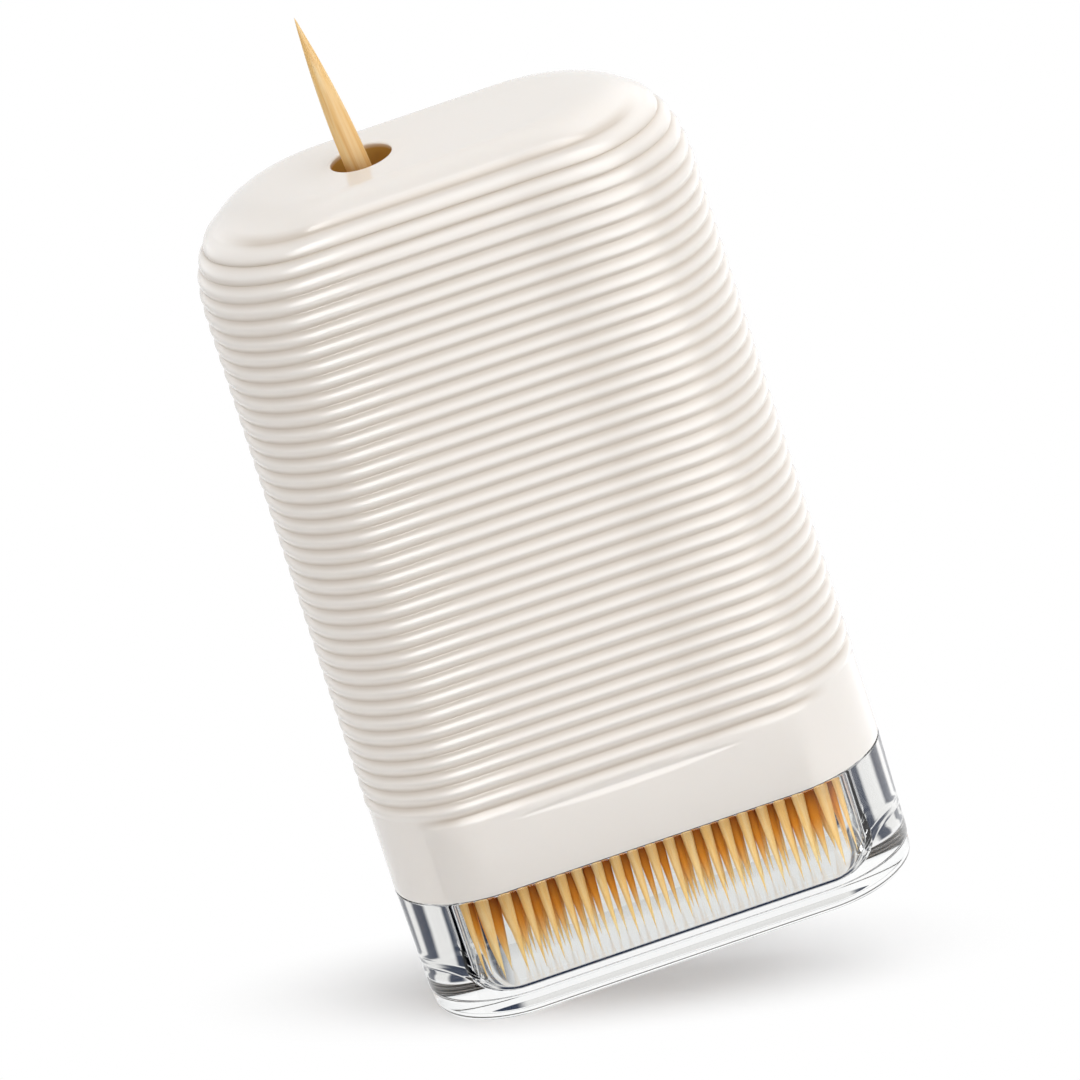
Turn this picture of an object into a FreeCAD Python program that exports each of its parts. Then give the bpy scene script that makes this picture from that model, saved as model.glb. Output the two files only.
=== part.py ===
"""Tip-over toothpick dispenser: a ribbed cover on a thick clear base.

The cover lifts off the base. Inside the cover a guide narrows from a flat magazine to a
soft throat under the hole in the top, where one toothpick at a time is gripped.

Frame: origin on the table at the middle of the base, +X along the long side,
+Y to the back, +Z up. Millimetres.
"""

import FreeCAD
import Part
import math
import os

# Body
BODY_WIDTH = 50.0
BODY_DEPTH = 20.0
BODY_HEIGHT = 87.8
SEAM_HEIGHT = 13.6
SEAM_GAP = 0.05

# Ribbed cover
COVER_WALL = 1.6
COVER_TOP = 1.8
SHOULDER_END_IN = 11.0
SHOULDER_END_DOWN = 11.0
SHOULDER_SIDE_IN = 3.5
SHOULDER_SIDE_DOWN = 8.0
SHOULDER_POWER = 2.4
RIB_DEPTH = 0.3
RIB_PITCH = 1.675
RIB_END_PITCH = 1.8
TOP_GROOVES = 5
TOP_MARGIN = 2.45
PLAIN_BAND = 7.1
END_CHORDS = 14
CREASE_LENGTH = 23.0
CREASE_DEPTH = 0.22
CREASE_SLOPE = 2.5
EDGE_BEVEL = 0.15

# Hole in the top, and what stands in it
HOLE_DIAMETER = 6.2
HOLE_OFFSET = -5.9
LEAN_DEGREES = 5.0
PROUD_LENGTH = 16.0

# Toothpicks
PICK_LENGTH = 65.0
PICK_DIAMETER = 1.85
PICK_SIDES = 6
PICK_GAP = 0.04
PICK_POINT = 12.0
OUT_PICK_DIAMETER = 2.5
OUT_PICK_POINT = 17.0
OUT_PICK_SIDES = 16
OUT_PICK_STAGES = 3
PUSH_BACK = 14.0
SWEEP_CLEARANCE = 0.25
STANDING_GAP = 0.02

# Clear base
GLASS_FRONT = 3.2
GLASS_END = 4.75
GLASS_FLOOR = 2.3
CAVITY_CORNER = 3.0
CAVITY_FILLET = 1.2
BASE_DRAFT = 0.36
FOOT_HEIGHT = 2.75
FOOT_STEP = 0.12
STEP_HEIGHT = 0.06
FOOT_ROUND = 2.0
NECK_CLEARANCE = 0.15
NECK_LENGTH = 8.4

# Soft ring on the neck
RING_HEIGHT = 1.4
RING_GROOVE = 0.5
RING_FIT = 0.04
RING_SEAT = 0.02

# Guide
GUIDE_WALL = 1.1
SLEEVE_CHAMFER = 1.0
CHANNEL_DEPTH = 10.6
CHANNEL_MARGIN = 0.15
PICK_PLAY = 0.25
FLANGE_LIFT = 2.0
FLANGE_THICKNESS = 1.2
FLANGE_FIT = 0.05
BEAD_HEIGHT = 0.8
BEAD_DEPTH = 0.3
HEADROOM_SHARE = 0.325
FUNNEL_MOUTH = 4.4

# Throat and the socket that holds it
THROAT_LIP = 0.6
THROAT_HEIGHT = 3.0
THROAT_FIT = 0.04
COLLAR_WALL = 1.0
COLLAR_FLOOR = 1.3
SOCKET_FIT = 0.05
BOSS_WALL = 1.1
PASSAGE_LENGTH = 4.8

# Worked out from the sizes above
HALF_WIDTH = BODY_WIDTH / 2
HALF_DEPTH = BODY_DEPTH / 2
CEILING = BODY_HEIGHT - COVER_TOP
INNER_WIDTH = HALF_WIDTH - COVER_WALL
INNER_DEPTH = HALF_DEPTH - COVER_WALL
NECK_TOP = SEAM_HEIGHT + NECK_LENGTH
FLANGE_BOTTOM = NECK_TOP + FLANGE_LIFT
CAVITY_WIDTH = BODY_WIDTH - 2 * GLASS_END
CAVITY_DEPTH = BODY_DEPTH - 2 * GLASS_FRONT
CHANNEL_WIDTH = CAVITY_WIDTH - 2 * CHANNEL_MARGIN
PICK_FOOT = GLASS_FLOOR + STANDING_GAP
PICK_TOP = PICK_FOOT + PICK_LENGTH
THROAT_TOP = BODY_HEIGHT - PASSAGE_LENGTH
THROAT_BOTTOM = THROAT_TOP - THROAT_HEIGHT
THROAT_RADIUS = HOLE_DIAMETER / 2 + THROAT_LIP
COLLAR_BOTTOM = THROAT_BOTTOM - COLLAR_FLOOR
FUNNEL_BOTTOM = PICK_TOP + HEADROOM_SHARE * (COLLAR_BOTTOM - PICK_TOP)
COLLAR_RADIUS = THROAT_RADIUS + SOCKET_FIT + COLLAR_WALL
SOCKET_RADIUS = COLLAR_RADIUS + SOCKET_FIT
BOSS_RADIUS = SOCKET_RADIUS + BOSS_WALL
LEAN = math.radians(LEAN_DEGREES)
LEAN_PIVOT = FreeCAD.Vector(HOLE_OFFSET, 0, THROAT_BOTTOM + THROAT_HEIGHT / 2)
LEAN_AXIS = FreeCAD.Vector(-math.sin(LEAN), 0, math.cos(LEAN))
PICK_PITCH = PICK_DIAMETER + PICK_GAP
ROW_PITCH = PICK_PITCH * math.sin(math.radians(60))
UP = FreeCAD.Vector(0, 0, 1)


# ---------------------------------------------------------------- shared forms

def stadium(height, half_width, half_depth):
    """Level outline with straight long sides and half-round ends."""
    centre = half_width - half_depth
    corners = [
        FreeCAD.Vector(-centre, -half_depth, height),
        FreeCAD.Vector(centre, -half_depth, height),
        FreeCAD.Vector(centre, half_depth, height),
        FreeCAD.Vector(-centre, half_depth, height),
    ]
    right = FreeCAD.Vector(half_width, 0, height)
    left = FreeCAD.Vector(-half_width, 0, height)
    edges = [
        Part.LineSegment(corners[0], corners[1]).toShape(),
        Part.Arc(corners[1], right, corners[2]).toShape(),
        Part.LineSegment(corners[2], corners[3]).toShape(),
        Part.Arc(corners[3], left, corners[0]).toShape(),
    ]
    return Part.Wire(edges)


def prism(outline, length):
    """Upright solid over a level outline."""
    return Part.Face(outline).extrude(FreeCAD.Vector(0, 0, length))


def stack(outlines):
    """Solid through level outlines, one above the other."""
    return Part.makeLoft(outlines, True, True)


def drum(radius, bottom, top):
    """Upright cylinder on the hole's axis."""
    return Part.makeCylinder(radius, top - bottom, FreeCAD.Vector(HOLE_OFFSET, 0, bottom), UP)


def rectangle(height, width, depth, centre_x=0.0):
    """Corners of a level rectangle."""
    signs = [(-1, -1), (1, -1), (1, 1), (-1, 1)]
    return [FreeCAD.Vector(centre_x + x * width / 2, y * depth / 2, height) for x, y in signs]


def chamfered(height, width, depth, chamfer, centre_x=0.0):
    """Corners of a level rectangle whose corners are cut off at 45 degrees."""
    x_long = width / 2
    y_long = depth / 2
    x_short = x_long - chamfer
    y_short = y_long - chamfer
    places = [
        (-x_short, -y_long), (x_short, -y_long), (x_long, -y_short), (x_long, y_short),
        (x_short, y_long), (-x_short, y_long), (-x_long, y_short), (-x_long, -y_short),
    ]
    return [FreeCAD.Vector(centre_x + x, y, height) for x, y in places]


def facet(corners):
    """Flat face between corners; corners that coincide count once."""
    distinct = [point for index, point in enumerate(corners) if point != corners[index - 1]]
    return Part.Face(Part.makePolygon(distinct + distinct[:1]))


def faceted(outlines):
    """Flat-faced solid through level outlines that have equally many corners.

    The first and last outline may be a point, given as that many equal corners.
    """
    faces = [facet(cap) for cap in (outlines[0], outlines[-1]) if cap[0] != cap[1]]
    for lower, upper in zip(outlines, outlines[1:]):
        for index, corner in enumerate(lower):
            after = (index + 1) % len(lower)
            faces.append(facet([corner, lower[after], upper[after], upper[index]]))
    return Part.Solid(Part.Shell(faces))


# ---------------------------------------------------------------- ribbed cover

def inset(height, top, reach_in, reach_down, power=2.0):
    """How far a rounded shoulder has drawn in at a height, 0 below the shoulder."""
    climb = min(max(height - (top - reach_down), 0.0) / reach_down, 1.0)
    return reach_in * (1 - (1 - climb ** power) ** (1 / power))


def cover_outline(height, end_offset=0.0, side_offset=0.0):
    """Corners of the cover's outline at a height, moved out at the ends and sides.

    Its ends are half rounds of short chords, because some eighty of them are stacked.
    """
    end_in = inset(height, BODY_HEIGHT, SHOULDER_END_IN, SHOULDER_END_DOWN, SHOULDER_POWER)
    side_in = inset(height, BODY_HEIGHT, SHOULDER_SIDE_IN, SHOULDER_SIDE_DOWN)
    half_width = HALF_WIDTH - end_in + end_offset
    half_depth = HALF_DEPTH - side_in + side_offset
    centre = half_width - half_depth
    corners = []
    for end in (1, -1):
        for step in range(END_CHORDS + 1):
            angle = math.pi * (step / END_CHORDS - 0.5)
            x = centre + half_depth * math.cos(angle)
            y = half_depth * math.sin(angle)
            corners.append(FreeCAD.Vector(end * x, end * y, height))
    return corners


def groove_heights():
    """Heights of the grooves: close set along the wall, wider set near both ends.

    As many close ones as fit between the two ends share that length evenly.
    """
    second = SEAM_HEIGHT + PLAIN_BAND + RIB_END_PITCH
    first_full = second + 2 * RIB_END_PITCH
    last_full = BODY_HEIGHT - TOP_MARGIN - TOP_GROOVES * RIB_END_PITCH
    gaps = round((last_full - first_full) / RIB_PITCH)
    pitch = (last_full - first_full) / gaps
    heights = [second, second + RIB_END_PITCH]
    heights += [first_full + step * pitch for step in range(gaps + 1)]
    heights += [last_full + (step + 1) * RIB_END_PITCH for step in range(TOP_GROOVES)]
    return heights


def cover_outside():
    """Ribbed body: a crest between every two grooves.

    The lowest and the topmost groove run along the sides and die out round the ends,
    because there the outline's ends keep their place while its sides draw in.
    """
    grooves = groove_heights()
    proud = RIB_DEPTH / 2
    last = len(grooves) - 1
    outlines = [
        cover_outline(SEAM_HEIGHT, -EDGE_BEVEL, -EDGE_BEVEL),
        cover_outline(SEAM_HEIGHT + EDGE_BEVEL),
        cover_outline(grooves[0] - RIB_END_PITCH / 2),
    ]
    for index, height in enumerate(grooves):
        fading = index in (0, last)
        outlines.append(cover_outline(height, 0 if fading else -proud, -proud))
        if index < last:
            crest = (height + grooves[index + 1]) / 2
            outlines.append(cover_outline(crest, proud, proud))
    for share in (0.4, 0.75, 0.94, 1.0):
        outlines.append(cover_outline(grooves[last] + share * (BODY_HEIGHT - grooves[last])))
    return faceted(outlines)


def crease_cutter(side):
    """Thin wheel with a sharp rim that presses a short fading crease into a flat side."""
    radius = ((CREASE_LENGTH / 2) ** 2 + CREASE_DEPTH ** 2) / (2 * CREASE_DEPTH)
    rim = CREASE_DEPTH * CREASE_SLOPE
    centre = FreeCAD.Vector(0, side * (HALF_DEPTH - CREASE_DEPTH + radius), SEAM_HEIGHT + PLAIN_BAND)
    inner = radius - CREASE_DEPTH
    lower = Part.makeCone(inner, radius, rim, centre - UP * rim, UP)
    upper = Part.makeCone(radius, inner, rim, centre, UP)
    return lower.fuse(upper)


def cover_inside():
    """Hollow of the cover, its shoulder following the outer one at the wall's thickness."""
    end_in = SHOULDER_END_IN - COVER_WALL
    end_down = SHOULDER_END_DOWN - COVER_TOP
    side_in = SHOULDER_SIDE_IN - COVER_WALL
    side_down = SHOULDER_SIDE_DOWN - COVER_TOP
    foot = SEAM_HEIGHT - 1
    straight = prism(stadium(foot, INNER_WIDTH, INNER_DEPTH), CEILING - end_down - foot)
    outlines = []
    for share in (0.0, 0.6, 0.9, 1.0):
        height = CEILING - end_down * (1 - share)
        half_width = INNER_WIDTH - inset(height, CEILING, end_in, end_down, SHOULDER_POWER)
        half_depth = INNER_DEPTH - inset(height, CEILING, side_in, side_down)
        outlines.append(stadium(height, half_width, half_depth))
    return straight.fuse(stack(outlines))


def snap_bead(side):
    """Low bead along the inside of a flat wall that the guide's flange snaps over."""
    length = 2 * (INNER_WIDTH - INNER_DEPTH)
    top = FLANGE_BOTTOM - FLANGE_FIT
    wall = side * (INNER_DEPTH + COVER_WALL / 4)
    rim = side * (INNER_DEPTH - BEAD_DEPTH)
    section = [
        FreeCAD.Vector(-length / 2, wall, top - BEAD_HEIGHT),
        FreeCAD.Vector(-length / 2, rim, top - BEAD_HEIGHT / 2),
        FreeCAD.Vector(-length / 2, rim, top),
        FreeCAD.Vector(-length / 2, wall, top),
    ]
    return facet(section).extrude(FreeCAD.Vector(length, 0, 0))


def cover_shell():
    """Moulded cover with the hole, the boss under it and the beads for the guide."""
    boss_foot = COLLAR_BOTTOM + COLLAR_FLOOR / 2
    boss = drum(BOSS_RADIUS, boss_foot, CEILING + COVER_TOP / 2)
    socket = drum(SOCKET_RADIUS, boss_foot, THROAT_TOP)
    hole = drum(HOLE_DIAMETER / 2, THROAT_TOP, BODY_HEIGHT)
    outside = cover_outside()
    shell = outside.cut(cover_inside())
    shell = shell.fuse([boss.common(outside), snap_bead(1), snap_bead(-1)])
    return shell.cut([socket, hole, crease_cutter(1), crease_cutter(-1)])


# ---------------------------------------------------------------- guide and throat

def guide_passage():
    """Space for the picks: flat channel, funnel, mouth and the throat's pocket."""
    way_in = faceted([
        rectangle(FLANGE_BOTTOM, CHANNEL_WIDTH, CHANNEL_DEPTH),
        rectangle(FUNNEL_BOTTOM, CHANNEL_WIDTH, CHANNEL_DEPTH),
        rectangle(COLLAR_BOTTOM, FUNNEL_MOUTH, FUNNEL_MOUTH, HOLE_OFFSET),
        rectangle(THROAT_BOTTOM, FUNNEL_MOUTH, FUNNEL_MOUTH, HOLE_OFFSET),
    ])
    pocket = drum(THROAT_RADIUS + SOCKET_FIT, THROAT_BOTTOM, THROAT_TOP)
    return way_in.fuse(pocket)


def pick_guide():
    """Thin moulding: flange, flat sleeve, funnel and the collar that holds the throat.

    The sleeve's corners are cut off to clear the cover's half-round ends.
    """
    width = CHANNEL_WIDTH + 2 * GUIDE_WALL
    depth = CHANNEL_DEPTH + 2 * GUIDE_WALL
    mouth = FUNNEL_MOUTH + 2 * GUIDE_WALL
    rim = stadium(FLANGE_BOTTOM, INNER_WIDTH - FLANGE_FIT, INNER_DEPTH - FLANGE_FIT)
    flange = prism(rim, FLANGE_THICKNESS)
    sleeve = faceted([
        chamfered(FLANGE_BOTTOM, width, depth, SLEEVE_CHAMFER),
        chamfered(FUNNEL_BOTTOM, width, depth, SLEEVE_CHAMFER),
        chamfered(COLLAR_BOTTOM + GUIDE_WALL / 2, mouth, mouth, SLEEVE_CHAMFER, HOLE_OFFSET),
    ])
    collar = drum(COLLAR_RADIUS, COLLAR_BOTTOM, THROAT_TOP - SOCKET_FIT)
    return flange.fuse([sleeve, collar]).cut(guide_passage())


def throat_ring():
    """Soft ring whose bore follows the leaning toothpick that it grips."""
    ring = drum(THROAT_RADIUS, THROAT_BOTTOM, THROAT_TOP - SOCKET_FIT)
    bore_radius = OUT_PICK_DIAMETER / 2 + THROAT_FIT
    start = LEAN_PIVOT - LEAN_AXIS * THROAT_HEIGHT
    return ring.cut(Part.makeCylinder(bore_radius, 2 * THROAT_HEIGHT, start, LEAN_AXIS))


# ---------------------------------------------------------------- clear base

def base_outline(height):
    """Outer outline of the base: a rounded foot, a fine step, then a drafted wall."""
    draw_in = BASE_DRAFT * (1 - min(height / SEAM_HEIGHT, 1.0))
    if height < FOOT_HEIGHT:
        curl = max(FOOT_ROUND - height, 0.0)
        draw_in += FOOT_STEP + FOOT_ROUND - math.sqrt(FOOT_ROUND ** 2 - curl ** 2)
    return stadium(height, HALF_WIDTH - draw_in, HALF_DEPTH - draw_in)


def cavity_outline(height):
    """Straight-sided outline of the cavity, with round corners."""
    x_in = CAVITY_WIDTH / 2 - CAVITY_CORNER
    y_in = CAVITY_DEPTH / 2 - CAVITY_CORNER
    centres = [(x_in, -y_in, 270), (x_in, y_in, 0), (-x_in, y_in, 90), (-x_in, -y_in, 180)]
    arcs = []
    for x, y, start in centres:
        centre = FreeCAD.Vector(x, y, height)
        arcs.append(Part.makeCircle(CAVITY_CORNER, centre, UP, start, start + 90))
    edges = []
    for index, arc in enumerate(arcs):
        following = arcs[(index + 1) % 4]
        edges.append(arc)
        edges.append(Part.LineSegment(arc.lastVertex().Point, following.firstVertex().Point).toShape())
    return Part.Wire(edges)


def neck_band(outer_gap, inner_depth, height):
    """Ring round the neck at mid length, outer_gap inside the cover's wall."""
    bottom = SEAM_HEIGHT + (NECK_LENGTH - height) / 2
    outside = prism(stadium(bottom, INNER_WIDTH - outer_gap, INNER_DEPTH - outer_gap), height)
    inner_gap = NECK_CLEARANCE + inner_depth
    inside = prism(stadium(bottom, INNER_WIDTH - inner_gap, INNER_DEPTH - inner_gap), height)
    return outside.cut(inside)


def clear_base():
    """Thick clear cup: half-round ends of solid glass, a straight cavity and a neck."""
    shoulder = SEAM_HEIGHT - SEAM_GAP
    heights = [FOOT_ROUND * (1 - math.cos(math.radians(angle))) for angle in (0, 40, 90)]
    heights += [FOOT_HEIGHT - STEP_HEIGHT, FOOT_HEIGHT, shoulder]
    body = stack([base_outline(height) for height in heights])
    neck_width = INNER_WIDTH - NECK_CLEARANCE
    neck_depth = INNER_DEPTH - NECK_CLEARANCE
    neck = prism(stadium(shoulder, neck_width, neck_depth), NECK_TOP - shoulder)
    cavity = prism(cavity_outline(GLASS_FLOOR), NECK_TOP - GLASS_FLOOR)
    floor_edges = [edge for edge in cavity.Edges if edge.BoundBox.ZMax < GLASS_FLOOR + CAVITY_FILLET]
    cavity = cavity.makeFillet(CAVITY_FILLET, floor_edges)
    return body.fuse(neck).cut([cavity, neck_band(0, RING_GROOVE, RING_HEIGHT)])


def neck_ring():
    """Soft square-section ring that lies in the neck's groove and brakes the cover."""
    return neck_band(RING_FIT, RING_GROOVE - RING_SEAT, RING_HEIGHT - 2 * RING_SEAT)


# ---------------------------------------------------------------- toothpicks

def toothpick(length, diameter, point, sides, stages):
    """Upright toothpick on its lower tip at the origin, in flat facets.

    Both points swell in a curve from a sharp tip to the shank. More sides and stages
    make it rounder: many for the one that is seen alone, few for a full load.
    """
    shank = diameter / 2
    profile = []
    for stage in range(stages + 1):
        share = stage / stages
        profile.append((shank * (1 - (1 - share) ** 2), point * share))
    profile += [(radius, length - height) for radius, height in reversed(profile)]
    outlines = []
    for radius, height in profile:
        angles = [2 * math.pi * side / sides for side in range(sides)]
        outlines.append([
            FreeCAD.Vector(radius * math.cos(angle), radius * math.sin(angle), height)
            for angle in angles
        ])
    return faceted(outlines)


def dispensed_toothpick():
    """The toothpick that leans in the throat with one point standing out of the hole."""
    pick = toothpick(PICK_LENGTH, OUT_PICK_DIAMETER, OUT_PICK_POINT, OUT_PICK_SIDES, OUT_PICK_STAGES)
    to_tip = (BODY_HEIGHT + PROUD_LENGTH - LEAN_PIVOT.z) / math.cos(LEAN)
    foot = LEAN_PIVOT + LEAN_AXIS * (to_tip - PICK_LENGTH)
    pick.Placement = FreeCAD.Placement(foot, FreeCAD.Rotation(UP, LEAN_AXIS))
    return pick


def crosses_leaning_pick(x, y):
    """True where a standing pick would touch the leaning one, also when pushed back."""
    reach = (PICK_DIAMETER + OUT_PICK_DIAMETER) / 2 + SWEEP_CLEARANCE
    tip_height = BODY_HEIGHT + PROUD_LENGTH
    foot_height = tip_height - (PICK_LENGTH + PUSH_BACK) * math.cos(LEAN)
    low_x = HOLE_OFFSET - (PICK_TOP - LEAN_PIVOT.z) * math.tan(LEAN)
    high_x = HOLE_OFFSET - (foot_height - LEAN_PIVOT.z) * math.tan(LEAN)
    away = max(min(low_x, high_x) - x, x - max(low_x, high_x), 0.0)
    return math.hypot(away, y) < reach


def toothpick_rows():
    """Rows of standing picks packed like a honeycomb, front row first."""
    row_room = CHANNEL_DEPTH - 2 * PICK_PLAY - PICK_DIAMETER
    column_room = CHANNEL_WIDTH - 2 * PICK_PLAY - PICK_DIAMETER
    row_count = 1 + int(row_room / ROW_PITCH)
    column_count = 1 + int(column_room / PICK_PITCH)
    pick = toothpick(PICK_LENGTH, PICK_DIAMETER, PICK_POINT, PICK_SIDES, 1)
    rows = []
    for row in range(row_count):
        y = (row - (row_count - 1) / 2) * ROW_PITCH
        in_row = column_count - row % 2
        places = [(column - (in_row - 1) / 2) * PICK_PITCH for column in range(in_row)]
        standing = []
        for x in places:
            if not crosses_leaning_pick(x, y):
                standing.append(pick.translated(FreeCAD.Vector(x, y, PICK_FOOT)))
        rows.append(Part.makeCompound(standing))
    return rows


def main():
    """Write one STEP file for each piece."""
    os.makedirs("parts", exist_ok=True)
    pieces = {
        "cover_shell": cover_shell(),
        "pick_guide": pick_guide(),
        "throat_ring": throat_ring(),
        "dispensed_toothpick": dispensed_toothpick(),
        "clear_base": clear_base(),
        "neck_ring": neck_ring(),
    }
    for number, row in enumerate(toothpick_rows(), start=1):
        pieces[f"toothpick_row_{number}"] = row
    for name, shape in pieces.items():
        shape.exportStep(f"parts/{name}.step")


main()
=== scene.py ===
"""Tip-over toothpick dispenser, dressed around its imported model.

A ribbed glossy cover stands on a thick clear base full of toothpicks, and one toothpick
leans out of the hole in its top. Lengths are millimetres until a mesh is made; Blender
gets metres.
"""

import logging
import math
from dataclasses import dataclass, field
from enum import Enum
from typing import Any, Iterable, Sequence

import bmesh
import bpy
import numpy as np
from mathutils import Matrix, Vector


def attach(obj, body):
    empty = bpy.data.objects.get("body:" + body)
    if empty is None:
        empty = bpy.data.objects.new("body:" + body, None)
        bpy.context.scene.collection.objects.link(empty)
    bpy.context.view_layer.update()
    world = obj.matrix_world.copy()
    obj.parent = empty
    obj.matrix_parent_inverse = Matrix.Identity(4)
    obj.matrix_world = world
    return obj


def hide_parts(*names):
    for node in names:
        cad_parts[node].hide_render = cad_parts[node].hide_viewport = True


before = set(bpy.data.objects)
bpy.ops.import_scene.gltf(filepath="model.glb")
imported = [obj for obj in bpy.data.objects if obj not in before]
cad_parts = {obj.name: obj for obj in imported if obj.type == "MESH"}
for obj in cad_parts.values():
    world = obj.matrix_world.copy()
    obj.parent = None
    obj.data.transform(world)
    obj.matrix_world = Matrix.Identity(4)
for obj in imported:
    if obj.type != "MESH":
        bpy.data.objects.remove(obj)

LOG = logging.getLogger("dispenser")
MM = 0.001
SMALLEST = 1e-9  # a length below which a vector has no direction
BEND_SHARE = 0.36  # of the points round a rounded rectangle's end, those in each corner
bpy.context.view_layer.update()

Colour = tuple[float, float, float, float]


class Body(Enum):
    """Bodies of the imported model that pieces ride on."""

    BASE = "base"
    COVER = "cover"
    TOOTHPICK = "toothpick"


class Panel(Enum):
    """The soft panels that light the dispenser."""

    SIDE = "side_panel"
    FRONT = "front_panel"
    TOP = "top_panel"
    FILL = "fill_panel"
    CUP = "cup_panel"


WHITE: Colour = (1.0, 1.0, 1.0, 1.0)


def srgb(red: int, green: int, blue: int) -> Colour:
    """Linear colour of an sRGB one.

    Args:
        red: Red, 0 to 255.
        green: Green, 0 to 255.
        blue: Blue, 0 to 255.

    Returns:
        Red, green, blue and an alpha of 1, linear.
    """
    linear = []
    for channel in (red, green, blue):
        share = channel / 255
        linear.append(share / 12.92 if share <= 0.04045 else ((share + 0.055) / 1.055) ** 2.4)
    return (linear[0], linear[1], linear[2], 1.0)


# ---------------------------------------------------------------- node trees


class Wires:
    """Adds nodes to one tree, of a material or of geometry, and links them."""

    def __init__(self, tree: bpy.types.NodeTree) -> None:
        """Start with an empty tree."""
        self.tree = tree
        self.tree.nodes.clear()

    def add(
        self,
        kind: str,
        settings: dict[str, Any] | None = None,
        values: dict[Any, Any] | None = None,
    ) -> bpy.types.Node:
        """Add a node.

        Args:
            kind: The node's type name.
            settings: Properties, set first.
            values: Socket name or number to a value, a socket or an Amount.

        Returns:
            The new node.
        """
        node = self.tree.nodes.new(kind)
        for name, value in (settings or {}).items():
            setattr(node, name, value)
        for name, value in (values or {}).items():
            self.feed(node.inputs[name], value)
        return node

    def feed(self, socket: bpy.types.NodeSocket, value: Any) -> None:
        """Link a socket or set its own value.

        Args:
            socket: The input.
            value: A number, a colour, a socket or an Amount.
        """
        source = value.source if isinstance(value, Amount) else value
        if isinstance(source, bpy.types.NodeSocket):
            self.tree.links.new(source, socket)
        else:
            socket.default_value = source

    def amount(self, source: Any) -> "Amount":
        """Wrap a socket or a number for sums."""
        return Amount(self, source)

    def blend(self, share: Any, first: Any, second: Any) -> bpy.types.NodeSocket:
        """Mix two colours.

        Args:
            share: 0 gives the first colour, 1 the second.
            first: Colour or socket.
            second: Colour or socket.

        Returns:
            The mixed colour's socket.
        """
        node = self.add("ShaderNodeMix", {"data_type": "RGBA"}, {0: share, 6: first, 7: second})
        return node.outputs[2]

    def axes(self, vector: bpy.types.NodeSocket) -> tuple["Amount", ...]:
        """A vector's three parts."""
        parts = self.add("ShaderNodeSeparateXYZ", None, {0: vector}).outputs
        return tuple(self.amount(parts[axis]) for axis in range(3))

    def either(self, share: Any, first: bpy.types.Node, second: bpy.types.Node) -> bpy.types.Node:
        """Mix two shaders: a share of 0 gives the first, 1 the second."""
        return self.add("ShaderNodeMixShader", None, {0: share, 1: first.outputs[0], 2: second.outputs[0]})

    def glow(self, colour: Colour, strength: float) -> bpy.types.Node:
        """A shader that only shines."""
        return self.add("ShaderNodeEmission", None, {"Color": colour, "Strength": strength})


class Amount:
    """A number in a node tree that adds its own maths nodes."""

    def __init__(self, wires: Wires, source: Any) -> None:
        """Hold a socket or a plain number."""
        self.wires = wires
        self.source = source

    def maths(self, operation: str, *others: Any) -> "Amount":
        """Apply one maths operation.

        Args:
            operation: The Math node's operation.
            others: Further operands.

        Returns:
            The result.
        """
        values = dict(enumerate([self, *others]))
        node = self.wires.add("ShaderNodeMath", {"operation": operation}, values)
        return Amount(self.wires, node.outputs[0])

    def __add__(self, other: Any) -> "Amount":
        """Sum."""
        return self.maths("ADD", other)

    __radd__ = __add__

    def __sub__(self, other: Any) -> "Amount":
        """Difference."""
        return self.maths("SUBTRACT", other)

    def __rsub__(self, other: Any) -> "Amount":
        """Difference from a number."""
        return Amount(self.wires, other).maths("SUBTRACT", self)

    def __mul__(self, other: Any) -> "Amount":
        """Product."""
        return self.maths("MULTIPLY", other)

    __rmul__ = __mul__

    def __truediv__(self, other: Any) -> "Amount":
        """Quotient."""
        return self.maths("DIVIDE", other)

    def __pow__(self, other: Any) -> "Amount":
        """Power."""
        return self.maths("POWER", other)

    def __abs__(self) -> "Amount":
        """Size without sign."""
        return self.maths("ABSOLUTE")

    def sine(self) -> "Amount":
        """Sine of an angle in radians."""
        return self.maths("SINE")

    def least(self, other: Any) -> "Amount":
        """The smaller of two."""
        return self.maths("MINIMUM", other)

    def most(self, other: Any) -> "Amount":
        """The larger of two."""
        return self.maths("MAXIMUM", other)

    def ramp(
        self, low: Any, high: Any, to_low: Any = 0.0, to_high: Any = 1.0, smooth: bool = False
    ) -> "Amount":
        """Map a range to another, clamped at both ends.

        Args:
            low: Value that gives to_low.
            high: Value that gives to_high.
            to_low: Result at low.
            to_high: Result at high.
            smooth: Ease in and out.

        Returns:
            The mapped value.
        """
        node = self.wires.add(
            "ShaderNodeMapRange",
            {"interpolation_type": "SMOOTHSTEP" if smooth else "LINEAR"},
            {0: self, 1: low, 2: high, 3: to_low, 4: to_high},
        )
        return Amount(self.wires, node.outputs[0])


# ---------------------------------------------------------------- meshes


def add_object(name: str, mesh: bpy.types.Mesh) -> bpy.types.Object:
    """Link a mesh object at the origin.

    Args:
        name: Name of the piece.
        mesh: Its mesh, in metres.

    Returns:
        The object.
    """
    piece = bpy.data.objects.new(name, mesh)
    bpy.context.scene.collection.objects.link(piece)
    return piece


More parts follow.
